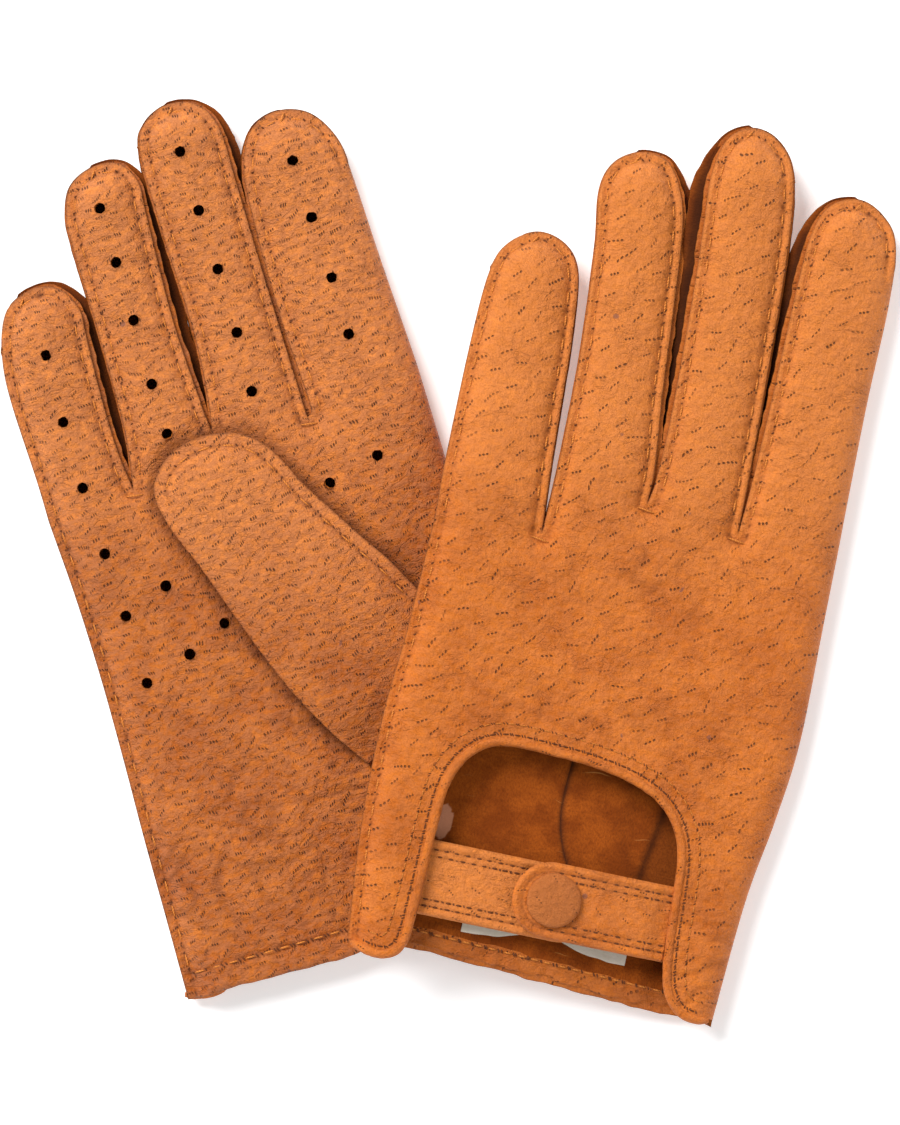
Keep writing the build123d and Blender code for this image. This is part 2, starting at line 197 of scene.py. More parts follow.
# ---------------------------------------------------------------- the thumb's plan
THUMB_FOLD = smooth([(14.1, 46.9), (8.4, 55.4), (2.6, 65.7), (-2.2, 75.9), (-7.7, 90.5),
                     (-13.4, 106.9), (-18.4, 119.6), (-20.4, 127.6)])
THUMB_END = smooth([(-20.4, 127.6), (-20.0, 131.8), (-17.8, 135.3), (-14.6, 138.4), (-9.7, 140.6),
                    (-3.5, 141.4), (4.1, 140.1), (9.1, 136.9), (12.5, 133.0), (15.3, 128.0)])
THUMB_SEAM = smooth([(53.0, 62.5), (46.5, 75.0), (38.7, 88.4), (34.2, 96.8), (29.9, 103.2),
                     (24.0, 112.6), (18.0, 122.2), (15.3, 128.0)])
THUMB_AXIS = np.array([-39.0, 86.0]) / np.hypot(39.0, 86.0)
THUMB_ROOT = np.array([36.0, 55.0])
THUMB_BEND = 58.0        # along the axis from the root
THUMB_LEVEL = 12.0       # height of the bend above the glove's lowest plane
THUMB_WIDTH = 34         # plan width that sets the number of columns
THUMB_INSET = 3.3        # from the thumb's edge to its stitches
THUMB_RADIUS = 6.5       # roundness of its folded side
THUMB_SKIN = 0.8         # thickness of its leather
THUMB_OUTLINE = np.vstack([THUMB_FOLD, THUMB_END[1:], THUMB_SEAM[::-1][1:]])


def thumb_edges(plan):
    """Distance to the thumb's outline, place along it and how much it is a fold."""
    length = arc_length(THUMB_OUTLINE)
    flat = plan.reshape(-1, 2)
    nearest = np.empty(len(flat), int)
    batch = 2000                                # keeps the table of distances small
    for low in range(0, len(flat), batch):
        away = flat[low:low + batch, None] - THUMB_OUTLINE[None]
        nearest[low:low + batch] = (away ** 2).sum(-1).argmin(1)
    gap = np.linalg.norm(flat - THUMB_OUTLINE[nearest], axis=1)
    fold_ends = arc_length(THUMB_FOLD)[-1]
    fold = 1 - ramp(fold_ends - 8, fold_ends + 4, length[nearest])
    shape = plan.shape[:-1]
    return gap.reshape(shape), length[nearest].reshape(shape), fold.reshape(shape)


def under_thumb(plan):
    """How much the palm is pressed down by the thumb that lies on it; add_leaf also paints shade
    round the thumb with it.
    """
    gap = thumb_edges(plan)[0]
    outside = np.where(inside(plan, THUMB_OUTLINE), -gap, gap)
    return (1 - ramp(0, 5.0, outside)) * ramp(44, 52, plan[..., 1])


# ---------------------------------------------------------------- one glove's plan
class Glove:
    """Where a glove lies, and the plan of its upper leaf."""

    def __init__(self, name, origin, turn, back_up, roots, fingers, little_side, index_side,
                 droop, folds, shift, seed):
        self.name, self.back_up, self.seed = name, back_up, seed
        self.origin = np.array(origin)
        self.turn = radians(turn)
        self.roots = np.array(roots, float)            # hand edge, three crotches, hand edge
        self.droop = dict(zip(FINGERS, droop))         # slope of each finger towards the table
        self.folds = dict(zip(FINGERS, folds))         # y of each fold line on its middle line
        self.shift = shift                             # how far each fourchette shows
        self.little = smooth(little_side + [roots[0]])
        self.index = smooth(index_side + [roots[4]])
        self.sides, self.tips = {}, {}
        rims = [self.little]
        for finger, (left, tip, right), before, after in zip(FINGERS, fingers, roots, roots[1:]):
            line = smooth([before] + left + tip + right + [after])
            ends = [np.argmin(np.linalg.norm(line - np.array(p), axis=1))
                    for p in (left[-1], right[0])]
            self.sides[finger] = (line[:ends[0] + 1], line[ends[1]:][::-1])
            self.tips[finger] = line[ends[0]:ends[1] + 1]
            rims.append(line)
        rims.append(self.index[::-1])
        self.outline = np.vstack(rims)
        self.finger_rims = dict(zip(FINGERS, rims[1:5]))
        self.tree = kdtree.KDTree(len(self.outline))
        for number, (x, y) in enumerate(self.outline):
            self.tree.insert((x, y, 0), number)
        self.tree.balance()
        self.arc = arc_length(self.outline)
        self.style_outline()

    def style_outline(self):
        """Edge height, and how much the edge is a fold, along the outline."""
        x, y = self.outline.T
        near_tip = np.zeros(len(x))
        for name in FINGERS:
            top = self.tip_of(name)
            away = np.hypot(x - top[0], y - top[1])
            near_tip = np.maximum(near_tip, 1 - ramp(7, 22, away))
        on_finger = ramp(-12, 2, y - np.interp(x, self.roots[:, 0], self.roots[:, 1]))
        little_tip = self.arc_at(self.tips["little"][0])
        on_finger = on_finger * ramp(little_tip - 4, little_tip + 8, self.arc)
        self.edge_height = HAND_SEAM + FINGER_SEAM_RISE * on_finger
        self.edge_height -= (self.edge_height - MIDDLE) * near_tip
        start = self.arc_at(self.tips["index"][-1])
        self.fold = ramp(start + 4, start + 16, self.arc)

    def arc_at(self, point):
        """Place along the outline of its point nearest to this one."""
        x, y = self.outline.T
        return self.arc[np.argmin(np.hypot(x - point[0], y - point[1]))]

    def tip_of(self, name):
        """Middle of a fingertip."""
        return self.tips[name][len(self.tips[name]) // 2]

    def sides_at(self, y):
        """x of the hand's two sides at this y."""
        return (np.interp(y, self.little[:, 1], self.little[:, 0]),
                np.interp(y, self.index[:, 1], self.index[:, 0]))

    def nearest(self, points):
        """Distance to the outline, place along it, edge height and fold share of plan points."""
        flat = points.reshape(-1, 2)
        found = np.fromiter((self.tree.find((x, y, 0))[1] for x, y in flat), int, len(flat))
        best = np.full(len(flat), 1e9)
        place = np.zeros(len(flat))
        for side in (-1, 1):
            other = np.clip(found + side, 0, len(self.outline) - 1)
            a, b = self.outline[found], self.outline[other]
            run = b - a
            t = np.clip(((flat - a) * run).sum(1) / ((run ** 2).sum(1) + 1e-12), 0, 1)
            gap = np.linalg.norm(flat - a - run * t[:, None], axis=1)
            closer = gap < best
            best = np.where(closer, gap, best)
            reached = self.arc[found] + t * (self.arc[other] - self.arc[found])
            place = np.where(closer, reached, place)
        shape = points.shape[:-1]
        height = np.interp(place, self.arc, self.edge_height)
        fold = np.interp(place, self.arc, self.fold)
        return [v.reshape(shape) for v in (best, place, height, fold)]

    def base(self, x, y, finger=None):
        """Height of the glove's lowest plane above the table; a finger droops towards it."""
        if not self.back_up:
            return np.zeros(np.shape(x))
        plane = LEFT_LIFT + TILT * (TILT_LINE - np.asarray(x, float))
        if finger:
            past = np.maximum(np.asarray(y, float) - self.folds[finger], 0)
            plane = plane - self.droop[finger] * np.where(past < 16, past ** 2 / 32, past - 8)
        return np.maximum(plane, 0.4)

    def place(self, points, finger=None):
        """World positions in metres of glove points x, y, z."""
        p = np.asarray(points, float)
        x, y = p[..., 0], p[..., 1]
        z = p[..., 2] + self.base(x, y, finger)
        c, s = cos(self.turn), sin(self.turn)
        world = np.stack([self.origin[0] + c * x - s * y, self.origin[1] + s * x + c * y, z], -1)
        return world * 0.001


# ---------------------------------------------------------------- meshes
class Piece:
    """A mesh in a glove's plan, with the values that its materials read."""

    def __init__(self, points, faces, kinds, plan=None, shade=None):
        self.points = np.asarray(points, float).reshape(-1, 3)
        self.faces = np.asarray(faces, int).reshape(-1, 4)
        self.kinds = np.asarray(kinds, int)
        self.plan = self.points[:, :2] if plan is None else np.asarray(plan, float).reshape(-1, 2)
        self.shade = np.zeros(len(self.points)) if shade is None else np.asarray(shade).ravel()


def merge(pieces):
    """Several pieces as one."""
    start = np.cumsum([0] + [len(p.points) for p in pieces])
    return Piece(np.vstack([p.points for p in pieces]),
                 np.vstack([p.faces + s for p, s in zip(pieces, start)]),
                 np.concatenate([p.kinds for p in pieces]),
                 np.vstack([p.plan for p in pieces]),
                 np.concatenate([p.shade for p in pieces]))


def grid_faces(rows, columns, closed=False):
    """Quads of a grid of points; closed joins the last column to the first."""
    i, j = np.meshgrid(np.arange(rows - 1), np.arange(columns if closed else columns - 1),
                       indexing="ij")
    k = (j + 1) % columns
    quads = np.stack([i * columns + j, i * columns + k, (i + 1) * columns + k,
                      (i + 1) * columns + j], axis=-1)
    return quads.reshape(-1, 4)


def grid_normals(grid):
    """Unit normals of a grid of points, right-handed from columns to rows."""
    across = np.gradient(grid, axis=1)
    along = np.gradient(grid, axis=0)
    normal = np.cross(across, along)
    return normal / (np.linalg.norm(normal, axis=-1, keepdims=True) + 1e-12)


def hole_edges(keep):
    """Edges of a grid between kept and removed faces, kept side on the left."""
    rows, columns = keep.shape[0] + 1, keep.shape[1] + 1
    number = np.arange(rows * columns).reshape(rows, columns)
    found = []
    above, below = keep[:-1], keep[1:]
    for here, there, forward in ((above, below, True), (below, above, False)):
        i, j = np.nonzero(here & ~there)
        a, b = number[i + 1, j], number[i + 1, j + 1]
        found.append(np.stack([b, a] if forward else [a, b], 1))
    left, right = keep[:, :-1], keep[:, 1:]
    for here, there, forward in ((left, right, True), (right, left, False)):
        i, j = np.nonzero(here & ~there)
        a, b = number[i, j + 1], number[i + 1, j + 1]
        found.append(np.stack([a, b] if forward else [b, a], 1))
    return np.vstack(found)


def shell(outer, thick, upward, keep=None, hem=False, shade=None, lining=None):
    """A leaf of leather: outer face, flesh side and cut rim, from a grid of its outer points.

    Kinds are 0 for the grain side, 1 for the flesh side and 2 for the cut rim. A hem is turned
    in, so that its inner face is grain side too.
    """
    rows, columns = outer.shape[:2]
    normal = grid_normals(outer)
    if (normal[..., 2].mean() > 0) != upward:
        normal = -normal
    normal[:2, :2], normal[:2, -2:] = normal[2, 2], normal[2, -3]     # corners beside a fingertip
    inner = outer - normal * np.asarray(thick)[..., None]
    count = rows * columns
    quads = grid_faces(rows, columns)
    keep = np.ones((rows - 1, columns - 1), bool) if keep is None else keep
    kept = quads[keep.ravel()]
    # grid quads wind so that the normal points up where rows run down the glove
    test = np.cross(outer[0, 1] - outer[0, 0], outer[1, 0] - outer[0, 0])[2]
    turn = (test > 0) != upward
    front = kept[:, ::-1] if turn else kept
    back = (kept if turn else kept[:, ::-1]) + count
    inner_kind = np.ones(len(kept), int)
    if hem:
        inner_kind[kept[:, 0] >= (rows - 1 - HEM_ROWS) * columns] = 0
    number = np.arange(count).reshape(rows, columns)
    loops = [np.stack([number[0, :-1], number[0, 1:]], 1),
             np.stack([number[-1, 1:], number[-1, :-1]], 1),
             np.stack([number[1:, 0], number[:-1, 0]], 1),
             np.stack([number[:-1, -1], number[1:, -1]], 1)]
    faces_beside = [keep[0], keep[-1], keep[:, 0], keep[:, -1]]
    rim = np.vstack([loop[beside] for loop, beside in zip(loops, faces_beside)])
    rim = np.vstack([rim[:, ::-1], hole_edges(keep)])
    walls = np.stack([rim[:, 0], rim[:, 1], rim[:, 1] + count, rim[:, 0] + count], 1)
    if turn:
        walls = walls[:, ::-1]
    faces = np.vstack([front, back, walls])
    kinds = np.concatenate([np.zeros(len(front), int), inner_kind, np.full(len(walls), 2)])
    points = np.vstack([outer.reshape(-1, 3), inner.reshape(-1, 3)])
    plan = np.vstack([outer.reshape(-1, 3)[:, :2]] * 2)
    shades = np.concatenate([(np.zeros(count) if shade is None else shade.ravel()),
                             (np.zeros(count) if lining is None else lining.ravel())])
    used = np.unique(faces)
    renumber = np.full(len(points), -1)
    renumber[used] = np.arange(len(used))
    return Piece(points[used], renumber[faces], kinds, plan[used], shades[used])


def tube(line, radius, wrinkle):
    """A rolled edge along a line of points, closed at both ends."""
    forward = np.gradient(line, axis=0)
    forward /= np.linalg.norm(forward, axis=1)[:, None]
    side = np.cross(forward, [0, 0, 1.0])
    side /= np.linalg.norm(side, axis=1)[:, None]
    up = np.cross(side, forward) * BINDING_SQUASH
    length = arc_length(line)
    angle = np.linspace(0, 2 * pi, BINDING_SIDES, endpoint=False)
    ring = radius[:, None] * (1 + wrinkle(length[:, None], angle[None, :]))
    points = (line[:, None] + side[:, None] * (ring * np.cos(angle))[..., None]
              + up[:, None] * (ring * np.sin(angle))[..., None])
    ends = [line[:1, None] + 0 * points[:1], line[-1:, None] + 0 * points[-1:]]
    points = np.concatenate([ends[0], points, ends[1]])
    length = np.concatenate([[0], length, [length[-1]]])
    plan = np.stack(np.broadcast_arrays(length[:, None], angle[None, :] * 1.2), -1)
    faces = grid_faces(len(points), BINDING_SIDES, closed=True)
    return Piece(points, faces[:, ::-1], np.zeros(len(faces), int), plan)


def thread_run(path, lengths, half_width=THREAD, lift=0.55):
    """Short arched threads from pairs of end points; path is n x 2 x 3."""
    a, b = path[:, 0], path[:, 1]
    forward = (b - a) / np.linalg.norm(b - a, axis=1)[:, None]
    side = np.cross(forward, [0, 0, 1.0])
    side /= np.linalg.norm(side, axis=1)[:, None] + 1e-9
    up = np.cross(side, forward)
    stations = np.array([0, 0.08, 0.3, 0.5, 0.7, 0.92, 1.0])
    width = np.array([0.05, 0.7, 1.0, 1.06, 1.0, 0.7, 0.05]) * half_width
    rise = np.array([-0.5, 0.1, 0.42, 0.5, 0.42, 0.1, -0.5]) * lift
    angle = np.linspace(0, 2 * pi, 6, endpoint=False)
    middle = a[:, None] + (b - a)[:, None] * stations[:, None] + up[:, None] * rise[:, None]
    points = (middle[:, :, None]
              + side[:, None, None] * (width[:, None] * np.cos(angle))[..., None]
              + up[:, None, None] * (width[:, None] * np.sin(angle) * 0.8)[..., None])
    quads = grid_faces(len(stations), len(angle), closed=True)[:, ::-1]
    size = len(stations) * len(angle)
    faces = (quads[None] + size * np.arange(len(a))[:, None, None]).reshape(-1, 4)
    plan = np.stack(np.broadcast_arrays(
        stations[None, :, None] * lengths + 7.0 * np.arange(len(a))[:, None, None],
        angle[None, None, :] * 0.3), -1)
    return Piece(points.reshape(-1, 3), faces, np.zeros(len(faces), int), plan)


def stitch_line(glove, line, height, pitch=SEAM_PITCH, length=SEAM_LENGTH, half_width=THREAD,
                lift=0.55):
    """Threads along a plan line, lying on the surface whose height is given.

    Kind 0 is the thread and kind 1 the needle hole at each of its ends, a dark sliver of painted
    shade.
    """
    total = arc_length(line)
    first = np.arange(pitch * 0.2, total[-1] - length, pitch)
    wander = 0.12 * pitch * noise(first * 0.7, first * 0 + 3.3, glove.seed + 9)
    ends = []
    for offset in (0, length):
        plan = points_at(line, (first + wander + offset) / total[-1])
        ends.append(np.concatenate([plan, height(plan)[:, None]], 1))
    ends = np.stack(ends, 1)
    run = ends[:, 1] - ends[:, 0]
    run = run / np.linalg.norm(run, axis=1)[:, None]
    turn = np.column_stack([run[:, 1], -run[:, 0], 0 * run[:, 2]]) * 0.5 * half_width / THREAD
    pits = []
    for k, reach in ((0, -0.5), (1, 0.5)):
        middle = ends[:, k] + run * reach * half_width / THREAD
        pits.append(np.stack([middle - turn - run * 0.25, middle + turn + run * 0.25], 1))
    holes = thread_run(np.concatenate(pits), 1.0, half_width * 0.9, lift * 0.12)
    holes.kinds[:] = 1
    return merge([thread_run(ends, length, half_width, lift), holes])


def vertex_normals(points, faces):
    """Sum of face normals round each point."""
    a, b, c, d = (points[faces[:, k]] for k in range(4))
    face = np.cross(c - a, d - b)
    total = np.zeros_like(points)
    for k in range(4):
        np.add.at(total, faces[:, k], face)
    return total


class Maker:
    """Collects pieces, welds their shading and turns them into objects."""

    def __init__(self):
        self.waiting = []

    def add(self, glove, part, piece, materials, slot, node=None, body="hand", bend=None,
            weld=None, finger=None):
        """Its points are in the glove's plan, drooping with a finger.

        It replaces the CAD node of its own name, or else the named node, or none for "".
        """
        name = f"{glove.name}_{part}"
        node = name if node is None else node and f"{glove.name}_{node}"
        world = glove.place(piece.points, finger)
        self.waiting.append((world, name, piece, materials, f"{glove.name}_{body}", node, slot,
                             bend, weld and f"{glove.name}_{weld}"))

    def sew(self, glove, part, piece, threads, **extra):
        """Keeps a row of stitches, which stand for no CAD node."""
        self.add(glove, part, piece, threads, "edge_leather", "", **extra)

    def finish(self):
        """Makes every object. Pieces with one weld name share normals where they touch."""
        groups = {}
        for row in self.waiting:
            groups.setdefault(row[-1] or row[1], []).append(row)
        for rows in groups.values():
            world = [row[0] for row in rows]
            normals = [vertex_normals(w * 1000, row[2].faces) for w, row in zip(world, rows)]
            if len(rows) > 1:
                spots = np.round(np.vstack(world) * 1e6 / 4).astype(np.int64)
                _, group = np.unique(spots, axis=0, return_inverse=True)
                group = group.ravel()
                total = np.zeros((group.max() + 1, 3))
                np.add.at(total, group, np.vstack(normals))
                shared = total[group]
                normals = np.split(shared, np.cumsum([len(w) for w in world])[:-1])
            for row, points, normal in zip(rows, world, normals):
                self.build(row, points, normal)

    def build(self, row, points, normal):
        """One object from a kept piece, on its body."""
        _, name, piece, materials, body, node, slot, bend, _ = row
        mesh = bpy.data.meshes.new(name)
        mesh.from_pydata(points.tolist(), [], piece.faces.tolist())
        for material in materials:
            mesh.materials.append(material)
        mesh.polygons.foreach_set("material_index", piece.kinds.astype(np.int32))
        mesh.polygons.foreach_set("use_smooth", np.ones(len(piece.kinds), bool))
        plan = mesh.attributes.new("plan", "FLOAT_VECTOR", "POINT")
        plan.data.foreach_set("vector", np.column_stack(
            [piece.plan, np.zeros(len(piece.plan))]).astype(np.float32).ravel())
        shade = mesh.attributes.new("shade", "FLOAT", "POINT")
        shade.data.foreach_set("value", piece.shade.astype(np.float32))
        mesh.update()
        length = np.linalg.norm(normal, axis=1)[:, None]
        normal = np.where(length > 1e-12, normal / (length + 1e-12), [0, 0, 1.0])
        mesh.normals_split_custom_set_from_vertices(normal.tolist())
        piece_object = bpy.data.objects.new(name, mesh)
        bpy.context.scene.collection.objects.link(piece_object)
        if bend:
            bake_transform(piece_object)
        else:
            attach(piece_object, body)
        if node:
            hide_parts(node)


make = Maker()


# ---------------------------------------------------------------- leather surfaces
def rounded(distance, radius):
    """Quarter-round profile from 0 at the edge to 1 at this distance."""
    t = np.clip(distance / radius, 0, 1)
    return np.sqrt(np.maximum(1 - (1 - t) ** 2, 0))


def folds_of(glove, x, y):
    """Height of this glove's soft folds, and of its sharp wrinkles, which add_leaf also darkens
    as painted shade.
    """
    s = glove.seed
    wave = 0.45 * noise(x / 22, y / 26, s) + 0.22 * noise(x / 10 + 5, y / 9, s + 1)
    fine = 0.09 * noise(x / 3.4, y / 2.6, s + 2) + 0.05 * noise(x / 1.6, y / 1.5, s + 3)
    drift = y + 0.12 * x + 5 * noise(x / 17, y / 17, s + 4)
    lines = creases(x / 9, drift / 3.6, s + 5)
    if glove.back_up:
        below_crotches = bump(x, 2, 26) * bump(y, 112, 15)
        beside_leg = bump(x, 42, 9) * (1 - ramp(18, 40, y))
        above_cut = bump(y, 70, 9) * (1 - ramp(20, 60, np.abs(x)))
        share = 0.22 + 0.75 * below_crotches + 0.8 * beside_leg + 0.5 * above_cut
        cracks = creases(x / 3.4, drift / 2.8, s + 6) * below_crotches
    else:
        heel = bump(y, 32, 24)
        beside_thumb = bump(x - (14 - 0.42 * (y - 47)), -8, 7) * bump(y, 62, 34)
        share = 0.42 + 0.75 * heel + 0.9 * beside_thumb
        slant = x * 0.85 + y * 0.52
        cracks = creases(slant / 3.6, (y - x * 0.5) / 9, s + 6) * (0.35 + beside_thumb)
    return wave + fine, 0.42 * share * lines + 0.12 * cracks


def seam_shape(d, place):
    """Lip, stitch groove and puckers beside a sewn edge."""
    phase = np.cos(2 * pi * place / SEAM_PITCH)
    lip = 0.30 * bump(d, 1.0, 0.75) * (1 + 0.35 * phase)
    groove = -0.52 * bump(d, SEAM_INSET, 0.6) * (1 - 0.35 * phase)
    inner = 0.30 * bump(d, 4.3, 1.3) * phase
    return lip + groove + inner


def upper_height(glove, plan):
    """Height of the grain side of the upper leaf."""
    x, y = plan[..., 0], plan[..., 1]
    d, place, edge, fold = glove.nearest(plan)
    puffed = edge + (DEPTH - edge) * (1 - np.exp(-np.maximum(d - 1.7, 0) / 3.4))
    sewn = puffed + seam_shape(d, place)
    folded = MIDDLE + (DEPTH - MIDDLE) * rounded(d, FOLD_RADIUS)
    calm = ramp(0, 3.5, d)
    shape = sewn * (1 - fold) + folded * fold
    flat = 1 - 0.5 * ramp(112, 150, y)          # the fingers lie smoother than the hand
    folds = sum(folds_of(glove, x, y)) * (calm * fold + (0.25 + 0.75 * calm) * (1 - fold)) * flat
    if glove.back_up:
        return shape + folds
    pressed = under_thumb(plan)
    return (shape + folds) * (1 - pressed) + np.minimum(shape, 9.2 + 0.3 * folds) * pressed


def low_seam(edge):
    """Height of the lower leaf's edge; it sinks a little where the upper one is high."""
    return LOW_SEAM - 0.42 * (edge - MIDDLE)


def lower_height(glove, plan):
    """Height of the grain side of the lower leaf, which rests on what is under it."""
    d, _, edge, fold = glove.nearest(plan)
    rim = low_seam(edge)
    sewn = rim * np.exp(-np.maximum(d - 1.7, 0) / 3.0) - 0.3 * bump(d, 1.0, 0.75)
    sewn = sewn + 0.42 * bump(d, SEAM_INSET, 0.6)
    folded = MIDDLE * (1 - rounded(d, FOLD_RADIUS))
    x, y = plan[..., 0], plan[..., 1]
    soft = 0.25 * (1 + noise(x / 14, y / 14, glove.seed + 20)) * ramp(0, 4, d)
    return np.maximum(sewn * (1 - fold) + folded * fold + soft, 0.05)


def seam_shade(glove, plan):
    """Painted shade: darkness of the needle holes, of the groove between them and of the very
    edge.
    """
    d, place, _, fold = glove.nearest(plan)
    phase = (place / SEAM_PITCH) % 1.0
    pits = bump(phase, 0.17, 0.05) + bump(phase, 0.75, 0.05)
    line = bump(d, SEAM_INSET, 0.45) * (0.25 + 0.9 * pits) + 0.5 * bump(d, 0, 0.35)
    return line * (1 - fold)


# ---------------------------------------------------------------- plans of the leaves
def finger_columns(count):
    """Places across one finger from 0 to 1, closer together at its edges."""
    k = np.linspace(0, 1, count)
    return k - 0.5 * np.sin(2 * pi * k) / (2 * pi)


def patch(left, right, top, rows, columns):
    """Grid between two side lines that start on a straight foot and end at the top line."""
    k, across = np.linspace(0, 1, rows), finger_columns(columns)
    foot = points_at(np.stack([left[0], right[0]]), across)
    s, t = across[None, :, None], k[:, None, None]
    ruled = points_at(left, k)[:, None] * (1 - s) + points_at(right, k)[:, None] * s
    lofted = foot[None] * (1 - t) + points_at(top, across)[None] * t
    corners = ((left[0] * (1 - s) + right[0] * s) * (1 - t)
               + (left[-1] * (1 - s) + right[-1] * s) * t)
    return ruled + lofted - corners


def hand_plan(glove, columns):
    """Grid of the hand from the line of the crotches down to the wrist."""
    top = []
    for low, high in zip(glove.roots, glove.roots[1:]):
        k = finger_columns(columns)[:, None]
        run = low + (high - low) * k
        top.append(run if not top else run[1:])
    top = np.vstack(top)
    left, right = glove.sides_at(top[:, 1])
    share = (top[:, 0] - left) / (right - left)
    share[0], share[-1] = 0, 1
    fall = (1 - np.linspace(0, 1, HAND_ROWS - HEM_ROWS)) ** 1.12
    y = HEM_WIDTH + (top[None, :, 1] - HEM_WIDTH) * fall[:, None]
    hem = HEM_WIDTH * (1 - np.linspace(0, 1, HEM_ROWS + 1)[1:]) ** 1.3
    y = np.vstack([y, np.repeat(hem[:, None], len(top), axis=1)])
    left, right = glove.sides_at(y)
    x = left + (right - left) * share[None, :]
    x[0] = top[:, 0]
    return np.stack([x, y], -1)


def finger_plan(glove, name):
    """Grid of one finger; its rows run from the tip to the hand, as on the hand."""
    left, right = glove.sides[name]
    rows = max(12, int(arc_length(left)[-1] / (GRID * 1.05)))
    return patch(left, right, glove.tips[name], rows, int(FINGER_WIDTH / GRID) + 1)[::-1]


def face_centres(plan):
    """Middle of each face of a grid."""
    return (plan[:-1, :-1] + plan[1:, :-1] + plan[:-1, 1:] + plan[1:, 1:]) / 4


def beside(gone):
    """Which grid points lie between kept faces and removed ones."""
    some = np.zeros(np.add(gone.shape, 1), bool)
    every = np.ones(some.shape, bool)
    for i in (0, 1):
        for j in (0, 1):
            window = np.s_[i:i + gone.shape[0], j:j + gone.shape[1]]
            some[window] |= gone
            every[window] &= gone
    return some & ~every


def punch(plan, holes):
    """Fits the grid to round holes. Returns which faces stay."""
    centre = face_centres(plan)
    keep = np.ones(centre.shape[:2], bool)
    for hole in holes:
        gone = np.linalg.norm(centre - hole, axis=-1) < HOLE_RADIUS
        keep &= ~gone
        ring = beside(gone)
        away = plan[ring] - hole
        plan[ring] = hole + away * (HOLE_RADIUS / (np.linalg.norm(away, axis=1)[:, None] + 1e-9))
    return keep


def cut_away(plan, edge):
    """Fits the grid to the cut edge of the back. Returns which faces stay."""
    polygon = np.vstack([edge, [(edge[-1][0] + 3, -9), (edge[0][0] - 3, -9)]])
    gone = inside(face_centres(plan), polygon)
    rim = beside(gone)
    points = plan[rim]
    nearest = np.argmin(((points[:, None] - edge[None]) ** 2).sum(-1), axis=1)
    close = np.linalg.norm(points - edge[nearest], axis=1) < 2 * GRID
    plan[rim] = np.where(close[:, None], edge[nearest], points)
    return ~gone


def wrist_hem(plan, height, upward):
    """Doubled thickness at the wrist, rounded at its edge, and the height that goes with it."""
    y = plan[..., 1]
    doubled = LEATHER * (1 + 0.75 * (1 - ramp(HEM_WIDTH - 0.3, HEM_WIDTH + 0.4, y)))
    nose = np.sqrt(np.maximum(1 - (1 - np.clip(y / 1.4, 0, 1)) ** 2, 0.02))
    thick = doubled * nose
    sign = 1 if upward else -1
    x = plan[..., 0]
    pucker = 0.65 * noise(x / 2.4, y / 8, 77) + 0.6 * noise(x / 6.5, y / 12, 78)
    pucker = pucker * (1 - ramp(6, 12, y)) * ramp(0, 2.5, y)
    groove = -0.5 * bump(y, HEM_WIDTH + 0.2, 0.7)
    return thick, height + sign * (groove + pucker - (doubled - thick) / 2)


def add_leaf(glove, part, plan, height, upward, slot, node=None, keep=None, hem=False,
             lining=None, slide=0, finger=None):
    """One leaf of the hand or a finger from its plan grid."""
    thick = np.full(plan.shape[:2], LEATHER)
    if hem:
        thick, height = wrist_hem(plan, height, upward)
        x, y = plan[..., 0], plan[..., 1]
        wave = 0.45 * noise(x / 7, 0 * x, glove.seed + 50) + 0.25 * noise(x / 2.6, 0 * x, 51)
        level = wave + (wrist_slope(x) if glove.back_up else 0)
        moved = y + level * (1 - ramp(3, 38, y))
        old, new = glove.sides_at(y), glove.sides_at(moved)
        share = (x - old[0]) / (old[1] - old[0])
        plan = np.stack([new[0] + (new[1] - new[0]) * share, moved], -1)
    outer = np.concatenate([plan + slide, height[..., None]], -1)
    shade = seam_shade(glove, plan)
    if upward:
        # the wrinkles of folds_of are also painted darker here: painted shade in the creases
        shade = shade - 0.75 * folds_of(glove, plan[..., 0], plan[..., 1])[1]
        if not glove.back_up:
            # painted shade on the palm under and round the thumb
            shade = shade + 0.6 * under_thumb(plan) ** 2
    if hem:
        # painted shade along the hem's stitch groove
        shade = shade + 0.35 * bump(plan[..., 1], HEM_WIDTH, 0.5)
    make.add(glove, part, shell(outer, thick, upward, keep, hem, shade, lining),
             SKIN[glove.back_up], slot, node, bend=finger and bend_of(glove, finger),
             weld="skin", finger=finger)


def wrist_slope(x):
    """How far the left glove's wrist lies above or below a straight line across."""
    return 1.3 - 0.046 * x


def bend_of(glove, name):
    """Where a finger's leather starts and stops turning at its fold line."""
    left, right = glove.sides[name]
    low = (left[0] + right[0]) / 2
    high = glove.tip_of(name)
    axis = (high - low) / np.linalg.norm(high - low)
    crotch_y = max(left[0][1], right[0][1])
    start_y = max(glove.folds[name] - 1.5, crotch_y + 0.5)
    start = low + axis * (start_y - low[1]) / axis[1]
    end = start + axis * FINGER_TURN
    return level_bend(glove, f"{name}_finger", start, end, DEPTH / 2)


def level_bend(glove, body, start, end, height):
    """The body that a bend leads to and the bend's two ends, level with each other."""
    a, b = glove.place([*start, height]), glove.place([*end, height])
    b[2] = a[2]
    return (f"{glove.name}_{body}", tuple(a), tuple(b))


FLANGE = 2.6             # fourchette leather sewn in between the leaves
WALL_DEPTH = 1.6         # how far a fourchette folds inwards between the leaves
SHUT = 0.22              # share of its edge that a fourchette shows where the leaves meet


